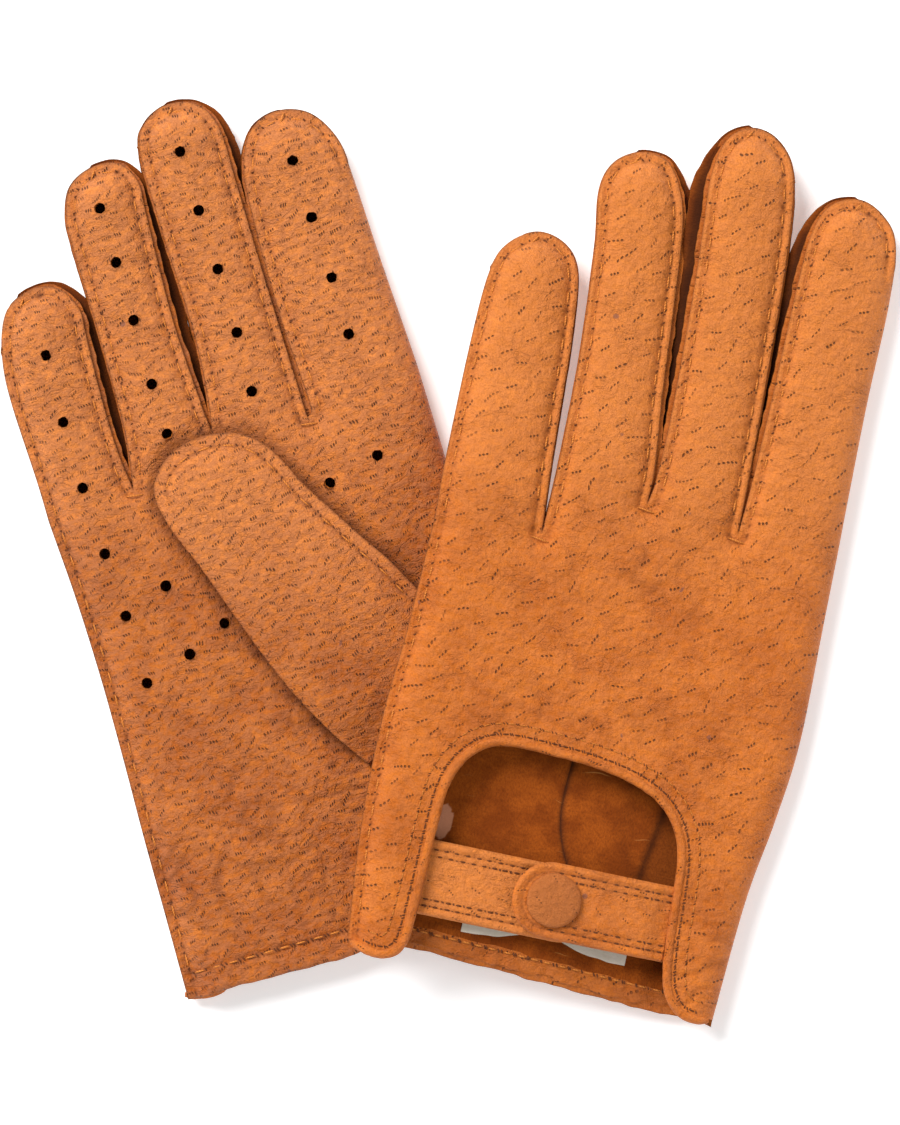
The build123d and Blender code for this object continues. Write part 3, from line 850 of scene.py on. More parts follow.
def wall(glove, name):
    """The fourchette round one finger: flanges under both leaves and a wall folded inwards."""
    rim = glove.finger_rims[name]
    line = resample(rim, int(arc_length(rim)[-1] / 0.9))
    _, _, edge, fold = glove.nearest(line)
    out = -sideways(line)                      # away from the finger
    length = arc_length(line)
    at_tip = length[np.argmin(np.hypot(*(line - glove.tip_of(name)).T))]
    from_tip = np.abs(length - at_tip)
    side = np.where(length < at_tip, *glove.shift[name])
    rise = ramp(0, 14, np.minimum(length, length[-1] - length))
    shown = side * rise * (0.15 + 0.85 * ramp(0, 26, from_tip))
    keep = np.ones(len(line) - 1, bool)
    sunk = np.zeros(len(line))
    free = SHUT + (1 - SHUT) * ramp(4, 24, from_tip)
    if name == "little":
        keep = length[:-1] > at_tip - 9
        sunk = WALL_DEPTH * (1 - ramp(-9, -3, length - at_tip))
        free = np.where(length < at_tip, SHUT, free)
    if name == "index":
        keep = fold[:-1] < 0.6
        sunk = WALL_DEPTH * ramp(0.1, 0.6, fold)
        free = np.where(length > at_tip, SHUT * (1 - fold), free)
    top, low = edge - LEATHER, low_seam(edge) + LEATHER
    wobble = (0.22 * noise(length / 2.3, length * 0, glove.seed + 40)
              + 0.12 * noise(length / 0.9, length * 0 + 9, glove.seed + 41))
    free = free * (0.12 + 0.88 * ramp(0.0, 1.0, side))
    peak = (0.95 + wobble) * free
    gap = np.maximum(top - low, 0.4)
    deep = np.minimum(WALL_DEPTH, gap * 0.4)
    # outward place and height of each line of the section, from the upper flange to the lower
    section = [
        (-FLANGE, top - 0.05), (peak, top - 0.10), (peak + 0.15, top - 0.45),
        (peak - 0.2, top - 0.95 * np.minimum(1, gap / 3)),
        (-0.4 + 0.15 * shown, top - 0.28 * gap), (-deep + 0.55 * shown, top - 0.5 * gap),
        (-0.5 + 0.85 * shown, top - 0.75 * gap), (peak - 0.1 + shown, low + 0.35),
        (peak + 0.1 + shown, low), (shown - FLANGE, low + 0.02),
    ]
    kept = np.nonzero(keep)[0]
    rows = slice(kept[0], kept[-1] + 2)
    points = np.stack([np.concatenate([line + out * (s - sunk)[:, None], z[:, None]], 1)
                       for s, z in section], 1)[rows]
    faces = grid_faces(*points.shape[:2])
    kinds = np.tile([0, 2, 2, 1, 1, 1, 1, 2, 0], len(points) - 1)
    plan = np.stack(np.broadcast_arrays(
        length[rows, None], np.arange(len(section))[None] * 1.1), -1)
    # painted shade of each line of the section, darkest where the wall folds in between the
    # leaves
    depth = np.array([0.6, 0.2, 0.35, 0.8, 1.0, 1.15, 1.0, 0.45, 0.5, 0.6])
    shade = depth * (0.35 + 0.65 * free[rows, None])
    return Piece(points.reshape(-1, 3), faces, kinds, plan, shade)


# how far out and how high each line of a gusset lies
QUIRK_SECTION = [(0.2, 7.2), (0.75, 6.2), (0.9, 5.0), (0.75, 3.8), (0.2, 2.9)]


def quirk(glove, number):
    """Small gusset that closes the crotch between two fingers."""
    before, after = FINGERS[number], FINGERS[number + 1]
    right_rim, left_rim = glove.sides[before][1][:12], glove.sides[after][0][:12]
    line = resample(np.vstack([right_rim[::-1], left_rim[1:]]), 30)
    out = -sideways(line)
    rows = [np.column_stack([line + out * bulge * 0.6, np.full(len(line), level)])
            for bulge, level in QUIRK_SECTION]
    points = np.stack(rows, 1)
    faces = grid_faces(*points.shape[:2])
    # the gussets are darkened all over: painted shade in the crotches
    return Piece(points, faces, np.ones(len(faces), int), None, np.full(points.shape[:2], 0.6))


# ---------------------------------------------------------------- materials
class Value:
    """A number in a material's nodes, for plain arithmetic."""

    def __init__(self, nodes, socket):
        self.nodes, self.socket = nodes, socket

    def __add__(self, other):
        return self.nodes.math("ADD", self, other)

    def __sub__(self, other):
        return self.nodes.math("SUBTRACT", self, other)

    def __rsub__(self, other):
        return self.nodes.math("SUBTRACT", other, self)

    def __mul__(self, other):
        return self.nodes.math("MULTIPLY", self, other)

    def __truediv__(self, other):
        return self.nodes.math("DIVIDE", self, other)

    __radd__ = __add__


class Nodes:
    """Short names for the nodes of one material."""

    def __init__(self, name):
        self.material = bpy.data.materials.new(name)
        self.material.use_nodes = True
        self.tree = self.material.node_tree
        self.shader = self.tree.nodes["Principled BSDF"]

    def put(self, socket, value):
        """Gives an input socket a number, a colour or another node's value."""
        if isinstance(value, Value):
            self.tree.links.new(value.socket, socket)
        else:
            socket.default_value = value

    def put_all(self, node, named):
        """Fills input sockets by name; an underscore stands for a space."""
        for key, value in named.items():
            self.put(node.inputs[key.replace("_", " ")], value)

    def node(self, kind, *values, out=0, settings=(), **inputs):
        """A new node with its first inputs in order, others by name, and one output."""
        made = self.tree.nodes.new(kind)
        for key, value in dict(settings).items():
            setattr(made, key, value)
        for socket, value in zip(made.inputs, values):
            self.put(socket, value)
        self.put_all(made, inputs)
        return Value(self, made.outputs[out])

    def math(self, operation, *values):
        """The result of one scalar operation."""
        return self.node("ShaderNodeMath", *values, settings={"operation": operation})

    def vector(self, operation, *values):
        """The result of one vector operation."""
        return self.node("ShaderNodeVectorMath", *values, settings={"operation": operation})

    def split(self, vector):
        """The three numbers of a vector."""
        outputs = self.node("ShaderNodeSeparateXYZ", vector).socket.node.outputs
        return [Value(self, socket) for socket in outputs]

    def step(self, value, low, high):
        """1 at low and 0 at high, smooth between and level beyond."""
        return self.node("ShaderNodeMapRange", value, low, high, 1.0, 0.0,
                         settings={"interpolation_type": "SMOOTHSTEP"})

    def mix(self, share, a, b):
        """Colour a, with this share of colour b."""
        made = self.tree.nodes.new("ShaderNodeMix")
        made.data_type = "RGBA"
        colour_a, colour_b = made.inputs[6], made.inputs[7]
        for socket, value in ((made.inputs[0], share), (colour_a, a), (colour_b, b)):
            self.put(socket, value)
        return Value(self, made.outputs[2])

    def noise(self, vector, scale, detail=2.0, rough=0.5, out=0):
        """Soft noise from 0 to 1; output 1 is a vector of it."""
        return self.node("ShaderNodeTexNoise", Vector=vector, Scale=scale, Detail=detail,
                         Roughness=rough, out=out)

    def plan(self, stretch=(1, 1, 1), turn=0.0, warp=0.0):
        """The piece's plan coordinates in millimetres, turned, stretched and unsettled."""
        place = self.node("ShaderNodeAttribute", out=1, settings={"attribute_name": "plan"})
        if warp:
            drift = self.vector("SUBTRACT", self.noise(place, 0.13, 1.0, out=1), (0.5, 0.5, 0.5))
            place = self.vector("MULTIPLY_ADD", drift, (warp, warp, 0), place)
        return self.node("ShaderNodeMapping", Vector=place, Rotation=(0, 0, turn), Scale=stretch)

    def dark(self, strength, limit):
        """How dark the piece's shade makes a place, up to a limit."""
        shade = self.node("ShaderNodeAttribute", out=2, settings={"attribute_name": "shade"})
        return self.math("MINIMUM", shade * strength, limit)

    def finish(self, colour, roughness, height=None, distance=0.0003, **inputs):
        """The finished material, with bumps of a height and more of the shader's inputs."""
        if height is not None:
            inputs["Normal"] = self.node("ShaderNodeBump", Height=height, Distance=distance,
                                         Strength=1.0)
        self.put_all(self.shader, {"Base Color": colour, "Roughness": roughness, **inputs})
        return self.material


def rgb(r, g, b):
    """An opaque colour."""
    return (r, g, b, 1.0)


def tint(colour, r, g, b):
    """A colour with each channel multiplied."""
    return rgb(colour[0] * r, colour[1] * g, colour[2] * b)


def pores(n, cell, turn, spacing, size, seed):
    """Hair pores in short rows of three to five, in slanting staggered lines: 1 in a pore."""
    place_x, place_y, _ = n.split(n.plan(turn=turn, warp=3.2))
    v = place_y / cell[1]
    row = n.math("FLOOR", v)
    u = place_x / cell[0] + n.math("FRACT", row * 0.382)
    joined = n.node("ShaderNodeCombineXYZ", n.math("FLOOR", u), row, seed)
    rx, ry, rz = n.split(n.node("ShaderNodeTexWhiteNoise", Vector=joined, out=1))
    lx = (n.math("FRACT", u) - 0.5) * cell[0] + (rx - 0.5) * (cell[0] * 0.2)
    ly = (n.math("FRACT", v) - 0.5) * cell[1] + (ry - 0.5) * (cell[1] * 0.5)
    ly = ly + lx * (rz - 0.62)
    number = n.math("ROUND", lx / spacing)
    in_row = n.math("LESS_THAN", n.math("ABSOLUTE", number), ry + 1.1)
    dx, dy = (lx - number * spacing) / size[0], ly / size[1]
    far = n.math("SQRT", dx * dx + dy * dy)
    return n.step(far, 0.5, 1.3) * in_row * (0.5 + rx * 0.6)


def wrinkles(n, turn, stretch, scale, width, seed):
    """Fine winding wrinkles: 1 along a wrinkle."""
    place = n.plan(turn=turn, stretch=stretch, warp=4.0)
    moved = n.node("ShaderNodeMapping", Vector=place, Location=(seed * 31.0, seed * 17.0, 0))
    field = n.noise(moved, scale, 2.5, 0.55)
    return n.step(n.math("ABSOLUTE", field - 0.5), 0.0, width)


def leather(name, light, deep, stain, turn, cell, spacing, size, wear, seed):
    """Peccary leather: rows of pores, odd grey spots, fine grain, wrinkles, soft mottling.

    A cell holds one row of pores, which have a spacing and a size, in millimetres. The stain is
    a colour and its share; wear makes the fingers paler and the wrinkles more frequent.
    """
    n = Nodes(name)
    pit = pores(n, cell, turn, spacing, size, seed)
    spot_cells = n.node("ShaderNodeTexVoronoi", Vector=n.plan(warp=2.0), Scale=0.085)
    spots = n.step(spot_cells, 0.045, 0.075) * n.step(n.noise(n.plan(), 0.21), 0.47, 0.52)
    cloud = n.noise(n.plan(), 0.055, 4.0, 0.6)
    patchy = n.noise(n.plan(stretch=(1, 1.5, 1)), 0.38, 5.0, 0.65)
    streak = n.noise(n.plan(turn=turn, stretch=(0.45, 1.6, 1), warp=3.0), 0.42, 3.0, 0.6)
    pebble = n.node("ShaderNodeTexVoronoi", settings={"feature": "SMOOTH_F1"},
                    Vector=n.plan(warp=0.6), Scale=0.62)
    grain = n.noise(n.plan(), 1.7, 4.0, 0.7)
    gate = n.step(n.noise(n.plan(), 0.11, 2.0), 0.66 - wear, 0.46 - wear)
    wide = wrinkles(n, turn, (0.6, 1.2, 1), 0.20, 0.022, seed)
    fine = wrinkles(n, turn + 0.9, (0.8, 1.1, 1), 0.42, 0.030, seed + 1)
    crease = n.math("MAXIMUM", wide, fine * 0.7) * (0.12 + gate * 0.88)

    colour = n.mix(n.step(cloud, 0.66, 0.38), light, deep)
    colour = n.mix(n.step(streak, 0.46, 0.66) * 0.3, colour, deep)
    # paler far along the plan: wear on the fingers, and painted light on the strap base, whose
    # plan is moved here
    _, reach, _ = n.split(n.plan(warp=9.0))
    glow = 1.05 + 1.4 * wear
    colour = n.mix(n.step(reach, 155.0, 95.0) * 0.7, colour,
                   tint(light, glow, glow * 1.18, glow * 2.1))
    colour = n.mix(n.step(patchy, 0.56, 0.40) * stain[3], colour, rgb(*stain[:3]))
    colour = n.mix(n.step(grain, 0.40, 0.54) * 0.24, colour, tint(deep, 0.62, 0.52, 0.5))
    # wrinkles painted darker: painted shade in the creases
    colour = n.mix(crease * 0.13, colour, tint(deep, 0.42, 0.33, 0.25))
    colour = n.mix(spots * 0.62, colour, rgb(0.17, 0.075, 0.065))
    colour = n.mix(pit * 0.78, colour, rgb(0.09, 0.026, 0.008))
    # painted shade from the piece's shade attribute
    colour = n.mix(n.dark(0.82, 0.92), colour, tint(deep, 0.16, 0.11, 0.09))

    height = (0.7 - pit) * 0.80 + grain * 0.85 + pebble * -0.8 + patchy * 0.75 - crease * 0.26
    return n.finish(colour, grain * 0.22 + 0.46, height, 0.0007,
                    Specular_IOR_Level=0.22, Sheen_Weight=0.02, Sheen_Roughness=0.5)


def suede(name, light, deep):
    """Flesh side of the leather: short nap, rubbed patches, pale scratches, a scuffed spot."""
    n = Nodes(name)
    nap = n.noise(n.plan(stretch=(1, 0.6, 1), turn=0.5), 2.2, 5.0, 0.75)
    rubbed = n.noise(n.plan(), 0.09, 3.0, 0.6)
    hairs = n.noise(n.plan(turn=0.5, stretch=(0.12, 1.9, 1), warp=5.0), 0.55, 2.0, 0.5)
    colour = n.mix(n.step(rubbed, 0.62, 0.38), light, deep)
    colour = n.mix(n.step(nap, 0.66, 0.38) * 0.55, colour, tint(deep, 0.5, 0.42, 0.4))
    colour = n.mix((1.0 - n.step(hairs, 0.70, 0.78)) * 0.5, colour, rgb(0.75, 0.33, 0.09))
    colour = n.mix(n.step(n.dark(1.0, 1.0), -0.9, -0.3), colour, rgb(0.62, 0.26, 0.14))
    # painted shade from the piece's shade attribute
    colour = n.mix(n.dark(0.8, 0.93), colour, rgb(0.022, 0.007, 0.003))
    return n.finish(colour, 0.92, nap + hairs, Specular_IOR_Level=0.08, Sheen_Weight=0.05)


def cut_edge(name, light, deep):
    """Raw edge of the leather: fuzzy fibres."""
    n = Nodes(name)
    fuzz = n.noise(n.plan(), 3.6, 5.0, 0.8)
    slow = n.noise(n.plan(), 0.3, 3.0)
    colour = n.mix(n.step(fuzz, 0.62, 0.40), light, deep)
    colour = n.mix(n.step(slow, 0.6, 0.4) * 0.4, colour, deep)
    # painted shade from the piece's shade attribute
    colour = n.mix(n.dark(0.7, 0.9), colour, rgb(0.05, 0.016, 0.006))
    return n.finish(colour, 0.9, fuzz, 0.0004, Specular_IOR_Level=0.1)


def thread(name, light, deep):
    """Waxed two-ply cotton thread."""
    n = Nodes(name)
    twist = n.node("ShaderNodeTexWave", settings={"bands_direction": "DIAGONAL"},
                   Vector=n.plan(), Scale=0.9, Distortion=1.5, Detail=2.0)
    worn = n.noise(n.plan(), 0.6, 2.0)
    colour = n.mix(worn * 0.5, n.mix(twist * 0.55, light, deep), deep)
    return n.finish(colour, 0.62, twist, 0.00012, Specular_IOR_Level=0.3)


def metal(name):
    """Dull brass of the snap's inner parts, lightly brushed round."""
    n = Nodes(name)
    place = n.node("ShaderNodeTexCoord", out=3)
    brush = n.noise(place, 2400.0, 3.0, 0.6)
    tarnish = n.noise(place, 300.0, 4.0, 0.6)
    colour = n.mix(n.step(tarnish, 0.62, 0.4), rgb(0.62, 0.45, 0.2), rgb(0.32, 0.2, 0.09))
    return n.finish(colour, brush * 0.25 + 0.24, brush, 0.00003, Metallic=1.0)


def woven(name):
    """Off-white label ribbon, plain weave."""
    n = Nodes(name)
    warp, weft = [n.node("ShaderNodeTexWave", settings={"bands_direction": way},
                         Vector=n.plan(), Scale=1.0) for way in "XY"]
    weave = warp * weft
    soil = n.noise(n.plan(), 0.2, 4.0)
    colour = n.mix(n.step(soil, 0.7, 0.35), rgb(0.96, 0.88, 0.74), rgb(0.88, 0.78, 0.62))
    colour = n.mix(weave * 0.15, colour, rgb(0.66, 0.56, 0.44))
    return n.finish(colour, 0.85, weave, 0.00015)


def floor_material(name):
    """Pale matte table, faintly uneven; its own glow keeps the shadows on it pale."""
    n = Nodes(name)
    tone = n.noise(n.node("ShaderNodeTexCoord", out=3), 9.0, 3.0)
    colour = n.mix(tone, rgb(0.93, 0.93, 0.93), rgb(0.90, 0.90, 0.90))
    return n.finish(colour, 0.85, Emission_Color=(1, 1, 1, 1), Emission_Strength=0.3)


PALM_LIGHT, PALM_DEEP = rgb(0.70, 0.195, 0.026), rgb(0.48, 0.113, 0.011)
BACK_LIGHT, BACK_DEEP = rgb(0.76, 0.205, 0.023), rgb(0.56, 0.133, 0.011)
palm_leather = leather(
    "palm_leather", PALM_LIGHT, PALM_DEEP, stain=(0.42, 0.155, 0.070, 0.45), turn=-radians(6),
    cell=(4.2, 2.9), spacing=0.66, size=(0.18, 0.38), wear=0.14, seed=3.0)
back_leather = leather(
    "back_leather", BACK_LIGHT, BACK_DEEP, stain=(0.60, 0.200, 0.070, 0.25), turn=-radians(32),
    cell=(6.6, 4.6), spacing=1.0, size=(0.30, 0.30), wear=0.0, seed=8.0)
edge_leather = leather(
    "edge_leather", BACK_LIGHT, BACK_DEEP, stain=(0.55, 0.19, 0.07, 0.25), turn=0.3,
    cell=(7.5, 5.2), spacing=0.85, size=(0.20, 0.20), wear=0.05, seed=5.0)
cap_leather = leather(
    "cap_leather", rgb(0.62, 0.165, 0.022), rgb(0.52, 0.125, 0.014),
    stain=(0.45, 0.14, 0.04, 0.2), turn=0.9,
    cell=(9.0, 7.0), spacing=0.85, size=(0.16, 0.16), wear=-0.2, seed=6.0)
flesh = suede("suede", rgb(0.385, 0.085, 0.0075), rgb(0.24, 0.048, 0.004))
raw_edge = cut_edge("raw_edge", rgb(0.62, 0.19, 0.030), rgb(0.34, 0.080, 0.011))
orange_thread = thread("orange_thread", rgb(0.78, 0.27, 0.045), rgb(0.55, 0.155, 0.020))
brown_thread = thread("brown_thread", rgb(0.20, 0.055, 0.010), rgb(0.08, 0.020, 0.005))
# needle holes: the thread's pattern in near black, painted shade in the holes at the ends of each
# stitch
needle_hole = thread("needle_hole", rgb(0.17, 0.045, 0.009), rgb(0.10, 0.024, 0.005))
brass = metal("brass")
ribbon = woven("label_ribbon")
SKIN = {False: [palm_leather, flesh, raw_edge], True: [back_leather, flesh, raw_edge]}
THREADS = [orange_thread, needle_hole]
DARK_THREADS = [brown_thread, needle_hole]


# ---------------------------------------------------------------- the two gloves
right = Glove(
    "right", (-21.71, -101.85), 16.0, False,
    roots=[(-49.2, 131.0), (-25.4, 133.3), (-1.3, 142.4), (23.8, 138.8), (55.4, 135.0)],
    fingers=[
        ([(-49.3, 142.2), (-50.1, 164.3), (-49.2, 175.5)],
         [(-46.3, 184.9), (-42.3, 189.3), (-35.5, 191.2), (-29.4, 189.0)],
         [(-26.0, 182.5), (-26.2, 174.3), (-26.7, 160.3), (-26.6, 145.4)]),
        ([(-23.4, 148.4), (-22.9, 173.4), (-23.2, 198.4), (-22.6, 207.4)],
         [(-19.4, 214.4), (-12.5, 217.6), (-5.6, 216.6)],
         [(-2.0, 210.5), (-2.3, 200.2), (-3.1, 173.1), (-2.0, 149.4)]),
        ([(0.0, 151.0), (1.2, 168.7), (0.5, 196.4), (0.6, 217.5)],
         [(3.6, 224.6), (10.6, 228.0), (18.2, 226.0)],
         [(22.4, 218.4), (22.8, 200.9), (23.1, 174.2), (23.7, 145.0)]),
        ([(25.3, 142.2), (24.1, 166.8), (24.5, 195.7), (26.2, 208.0)],
         [(30.8, 216.0), (38.5, 218.4), (46.4, 215.4)],
         [(51.4, 207.0), (52.7, 196.0), (53.7, 172.7), (55.1, 147.0)]),
    ],
    little_side=[(-48.6, 0), (-48.3, 22), (-48.1, 43.8), (-47.6, 65.4), (-47.4, 87.2),
                 (-47.9, 109.1)],
    index_side=[(48, 0), (50.5, 40), (54.5, 85), (55.6, 112)],
    droop=(0, 0, 0, 0), folds=(136.0, 145.0, 145.0, 141.5),
    shift={"little": (0.0, 2.6), "ring": (0.3, 2.4), "middle": (0.4, 2.2), "index": (0.5, 0.0)},
    seed=11,
)
left = Glove(
    "left", (22.19, -110.75), -12.2, True,
    roots=[(-51.2, 115.0), (-23.0, 116.3), (2.4, 129.6), (27.3, 126.8), (54.3, 127.5)],
    fingers=[
        ([(-51.7, 130.0), (-51.8, 161.0), (-50.9, 180.0)],
         [(-47.8, 188.4), (-40.5, 193.2), (-32.6, 191.4)],
         [(-28.0, 184.5), (-25.9, 168.0), (-25.0, 151.0), (-24.2, 134.0)]),
        ([(-22.6, 134.0), (-23.1, 163.0), (-25.2, 192.0), (-27.2, 207.0)],
         [(-25.0, 215.0), (-18.5, 219.4), (-11.3, 218.6)],
         [(-6.9, 212.5), (-3.7, 202.0), (-1.4, 179.0), (0.3, 158.0), (2.4, 139.0)]),
        ([(3.3, 137.0), (3.5, 155.0), (2.4, 187.0), (1.3, 204.5), (0.6, 217.0)],
         [(2.6, 227.0), (8.2, 231.6), (15.6, 230.2)],
         [(21.6, 222.0), (24.6, 201.0), (26.3, 165.0), (27.2, 138.0)]),
        ([(28.0, 140.0), (28.5, 164.0), (28.8, 197.0), (29.9, 209.5)],
         [(33.4, 216.6), (40.5, 219.3), (47.4, 216.4)],
         [(51.8, 210.0), (53.6, 195.0), (53.5, 168.0), (54.0, 140.0)]),
    ],
    little_side=[(-50, 0), (-53, 32), (-53.5, 61), (-52, 85)],
    index_side=[(47.9, 0), (49.9, 33), (53.1, 55.5), (55.1, 77), (54.6, 109)],
    droop=(0.203, 0.119, 0.052, 0.0), folds=(119.5, 132.5, 132.5, 130.0),
    shift={"little": (0.0, -0.9), "ring": (-0.7, 2.3), "middle": (3.7, 0.3), "index": (2.9, 0.0)},
    seed=31,
)
CUT_LINE = smooth(CUT_EDGE, 0.6)


def build_skin(glove):
    """Both leaves of the hand and of every finger."""
    roles = ("back", "palm") if glove.back_up else ("palm", "back")
    for role, leaf_height in zip(roles, (upper_height, lower_height)):
        uppermost = role == roles[0]
        slot = f"{role}_leather"
        spacing = GRID if uppermost or glove.back_up else 2 * GRID
        plan = hand_plan(glove, int(FINGER_WIDTH / spacing) + 1)
        keep, holes = None, HOLES if role == "palm" and not glove.back_up else {}
        if role == "back":
            keep = cut_away(plan, CUT_LINE)
        elif holes:
            keep = punch(plan, holes["hand"])
        height, lining = leaf_height(glove, plan), None
        if role == "palm" and glove.back_up:
            height, lining = palm_inside(plan, height)
        add_leaf(glove, f"hand_{role}", plan, height, uppermost, slot, f"{role}_panel", keep,
                 hem=role == "palm", lining=lining)
        for name in FINGERS:
            plan = finger_plan(glove, name)
            keep = punch(plan, holes[name]) if holes else None
            slide = 0 if uppermost else lower_slide(glove, name, plan)
            add_leaf(glove, f"{name}_{role}", plan, leaf_height(glove, plan), uppermost, slot,
                     keep=keep, slide=slide, finger=name)


def lower_slide(glove, name, plan):
    """How far the lower leaf of a finger shows beyond the upper one on each side."""
    left_shift, right_shift = glove.shift[name]
    share = finger_columns(plan.shape[1])[None, :]
    reach = np.linspace(1, 0, plan.shape[0])[:, None]
    rise = ramp(0, 0.16, reach) * (0.15 + 0.85 * (1 - ramp(0.62, 0.98, reach)))
    slide = (-left_shift * (1 - share) ** 2 + right_shift * share ** 2) * rise
    return np.stack([slide, 0 * slide], -1)


def palm_inside(plan, height):
    """Thumb seam and folded edge that show inside the palm, and how dark painted shade makes
    them.
    """
    x, y = plan[..., 0], plan[..., 1]
    seam_x = -2.3 + 0.0174 * np.minimum(y - 49, 0) ** 2 + 0.004 * np.maximum(y - 49, 0) ** 2
    fold_x = 22.6 + 0.158 * (y - 43.7)
    zone = ramp(20, 27, y) * (1 - ramp(66, 80, y))
    seam = bump(x, seam_x, 0.9) * zone
    raised = ramp(-0.2, 1.0, x - seam_x) * (1 - ramp(14, 19, x - seam_x)) * zone
    fold = bump(x, fold_x, 1.1) * zone
    corner = ramp(-2, 2.5, x - fold_x) * zone
    scuff = np.hypot((x + 32.1) / 2.3, (y - 37.0) / 4.9) + 0.12 * noise(x / 1.7, y / 1.7, 57)
    # painted shade along the hem, in the seam, at the fold and in the sunk corner past it; the
    # negative term is a pale scuffed spot
    lining = (0.3 * (1 - ramp(6.0, 7.4, y)) + 1.1 * seam + 0.7 * fold + 0.42 * corner
              - 1.2 * (1 - ramp(0.85, 1.1, scuff)))
    return height + 0.9 * raised - 0.5 * corner, lining


def build_fourchettes(glove):
    """Walls between the leaves of the fingers, and the gussets in the crotches."""
    skin = SKIN[glove.back_up]
    slot = "back_leather" if glove.back_up else "palm_leather"
    for name in FINGERS:
        noun = "fourchette" if name in ("little", "index") else "fourchettes"
        make.add(glove, f"{name}_{noun}", wall(glove, name), skin, slot,
                 bend=bend_of(glove, name), finger=name)
    make.add(glove, "quirks", merge([quirk(glove, number) for number in range(3)]), skin, slot)


def one_stitch(top, start, end, length, lift=0.0, half_width=THREAD):
    """A single short thread between two places."""
    path = np.array([[start, end]])
    levels = top(path) + lift
    return thread_run(np.concatenate([path, levels[..., None]], -1), length, half_width)


def build_stitches(glove):
    """Seam stitches of the hand and of each finger."""
    def top(plan):
        return upper_height(glove, plan)

    side = glove.little[:-1]
    side = side[side[:, 1] > 8]
    hand = [stitch_line(glove, side + sideways(side) * SEAM_INSET, top)]
    for x, y in glove.roots[1:4]:
        hand.append(one_stitch(top, (x - 2.6, y - 1.5), (x + 2.4, y - 2.2), 5.0, 0.05,
                               THREAD * 0.9))
    if not glove.back_up:
        hem = np.stack([np.linspace(-45.5, 46, 160), np.full(160, HEM_WIDTH + 0.2)], 1)
        hand.append(stitch_line(glove, hem, top, 4.6, 2.6, lift=0.3))
    else:
        def inside_hem(plan):
            still = plan - np.stack([0 * plan[..., 0], 0.9 * wrist_slope(plan[..., 0])], -1)
            thick, height = wrist_hem(still, lower_height(glove, still), False)
            return height + thick + 0.1

        across = np.linspace(-40, 38, 160)
        hem = np.stack([across, HEM_WIDTH - 1.2 + 0.9 * wrist_slope(across)], 1)
        hand.append(stitch_line(glove, hem, inside_hem, 3.7, 2.2, lift=0.4))
    make.sew(glove, "hand_stitches", merge(hand), THREADS)
    for name in FINGERS:
        rim = glove.finger_rims[name]
        line = resample(rim, int(arc_length(rim)[-1] / 0.7))
        line = line + sideways(line) * SEAM_INSET
        fold = glove.nearest(line)[3]
        line = line[fold < 0.35]
        length = arc_length(line)
        if name != "little":
            line = line[length > 3.0]
        if name != "index":
            line = line[:len(line) - 5]
        x, y = glove.tip_of(name)
        pleat = one_stitch(top, (x - 0.9, y - 3.2), (x + 0.6, y - 0.9), 2.5)
        make.sew(glove, f"{name}_stitches", merge([stitch_line(glove, line, top), pleat]),
                 THREADS, bend=bend_of(glove, name), finger=name)


def back_outer(glove, plan):
    """Height of the grain side of the back, whichever way up the glove lies."""
    return (upper_height if glove.back_up else lower_height)(glove, plan)


def offset_line(line, distance):
    """A plan line moved sideways to its right."""
    moved = line + sideways(line) * distance
    step = np.linalg.norm(np.diff(moved, axis=0), axis=1)
    return moved[np.concatenate([[True], step > 0.25])]


def build_binding(glove):
    """Rolled binding on the cut edge of the back, with its two rows of stitches."""
    outward = 1 if glove.back_up else -1
    line = CUT_LINE[2:-2]
    roll = line + sideways(line) * 0.35
    height = back_outer(glove, line + sideways(line) * -1.2)
    height = np.convolve(np.pad(height, 4, "edge"), np.ones(9) / 9, "valid")
    centre = np.concatenate([roll, (height - outward * 0.55)[:, None]], 1)
    length = arc_length(line)
    ends = bump(length, 0, 1.2), bump(length, length[-1], 1.2)

    def wrinkle(s, angle):
        return 0.05 * noise(s / 1.1, angle * 0.8, 5) + 0.05 * noise(s / 4.0, angle, 6)

    piece = tube(centre, BINDING_RADIUS * (1 - 0.5 * ends[0] - 0.5 * ends[1]), wrinkle)
    make.add(glove, "cutout_binding", piece, [edge_leather], "edge_leather")
    for row, inset, threads, stitch, half_width in (("inner", 1.6, DARK_THREADS, 1.7, 0.2),
                                                    ("outer", 4.4, THREADS, 1.9, 0.15)):
        path = offset_line(CUT_LINE[6:-6], -inset)
        piece = stitch_line(glove, path, lambda p: back_outer(glove, p) + outward * 0.02,
                            FINE_PITCH, stitch, half_width, lift=0.3 * outward)
        make.sew(glove, f"binding_stitches_{row}", piece, threads)


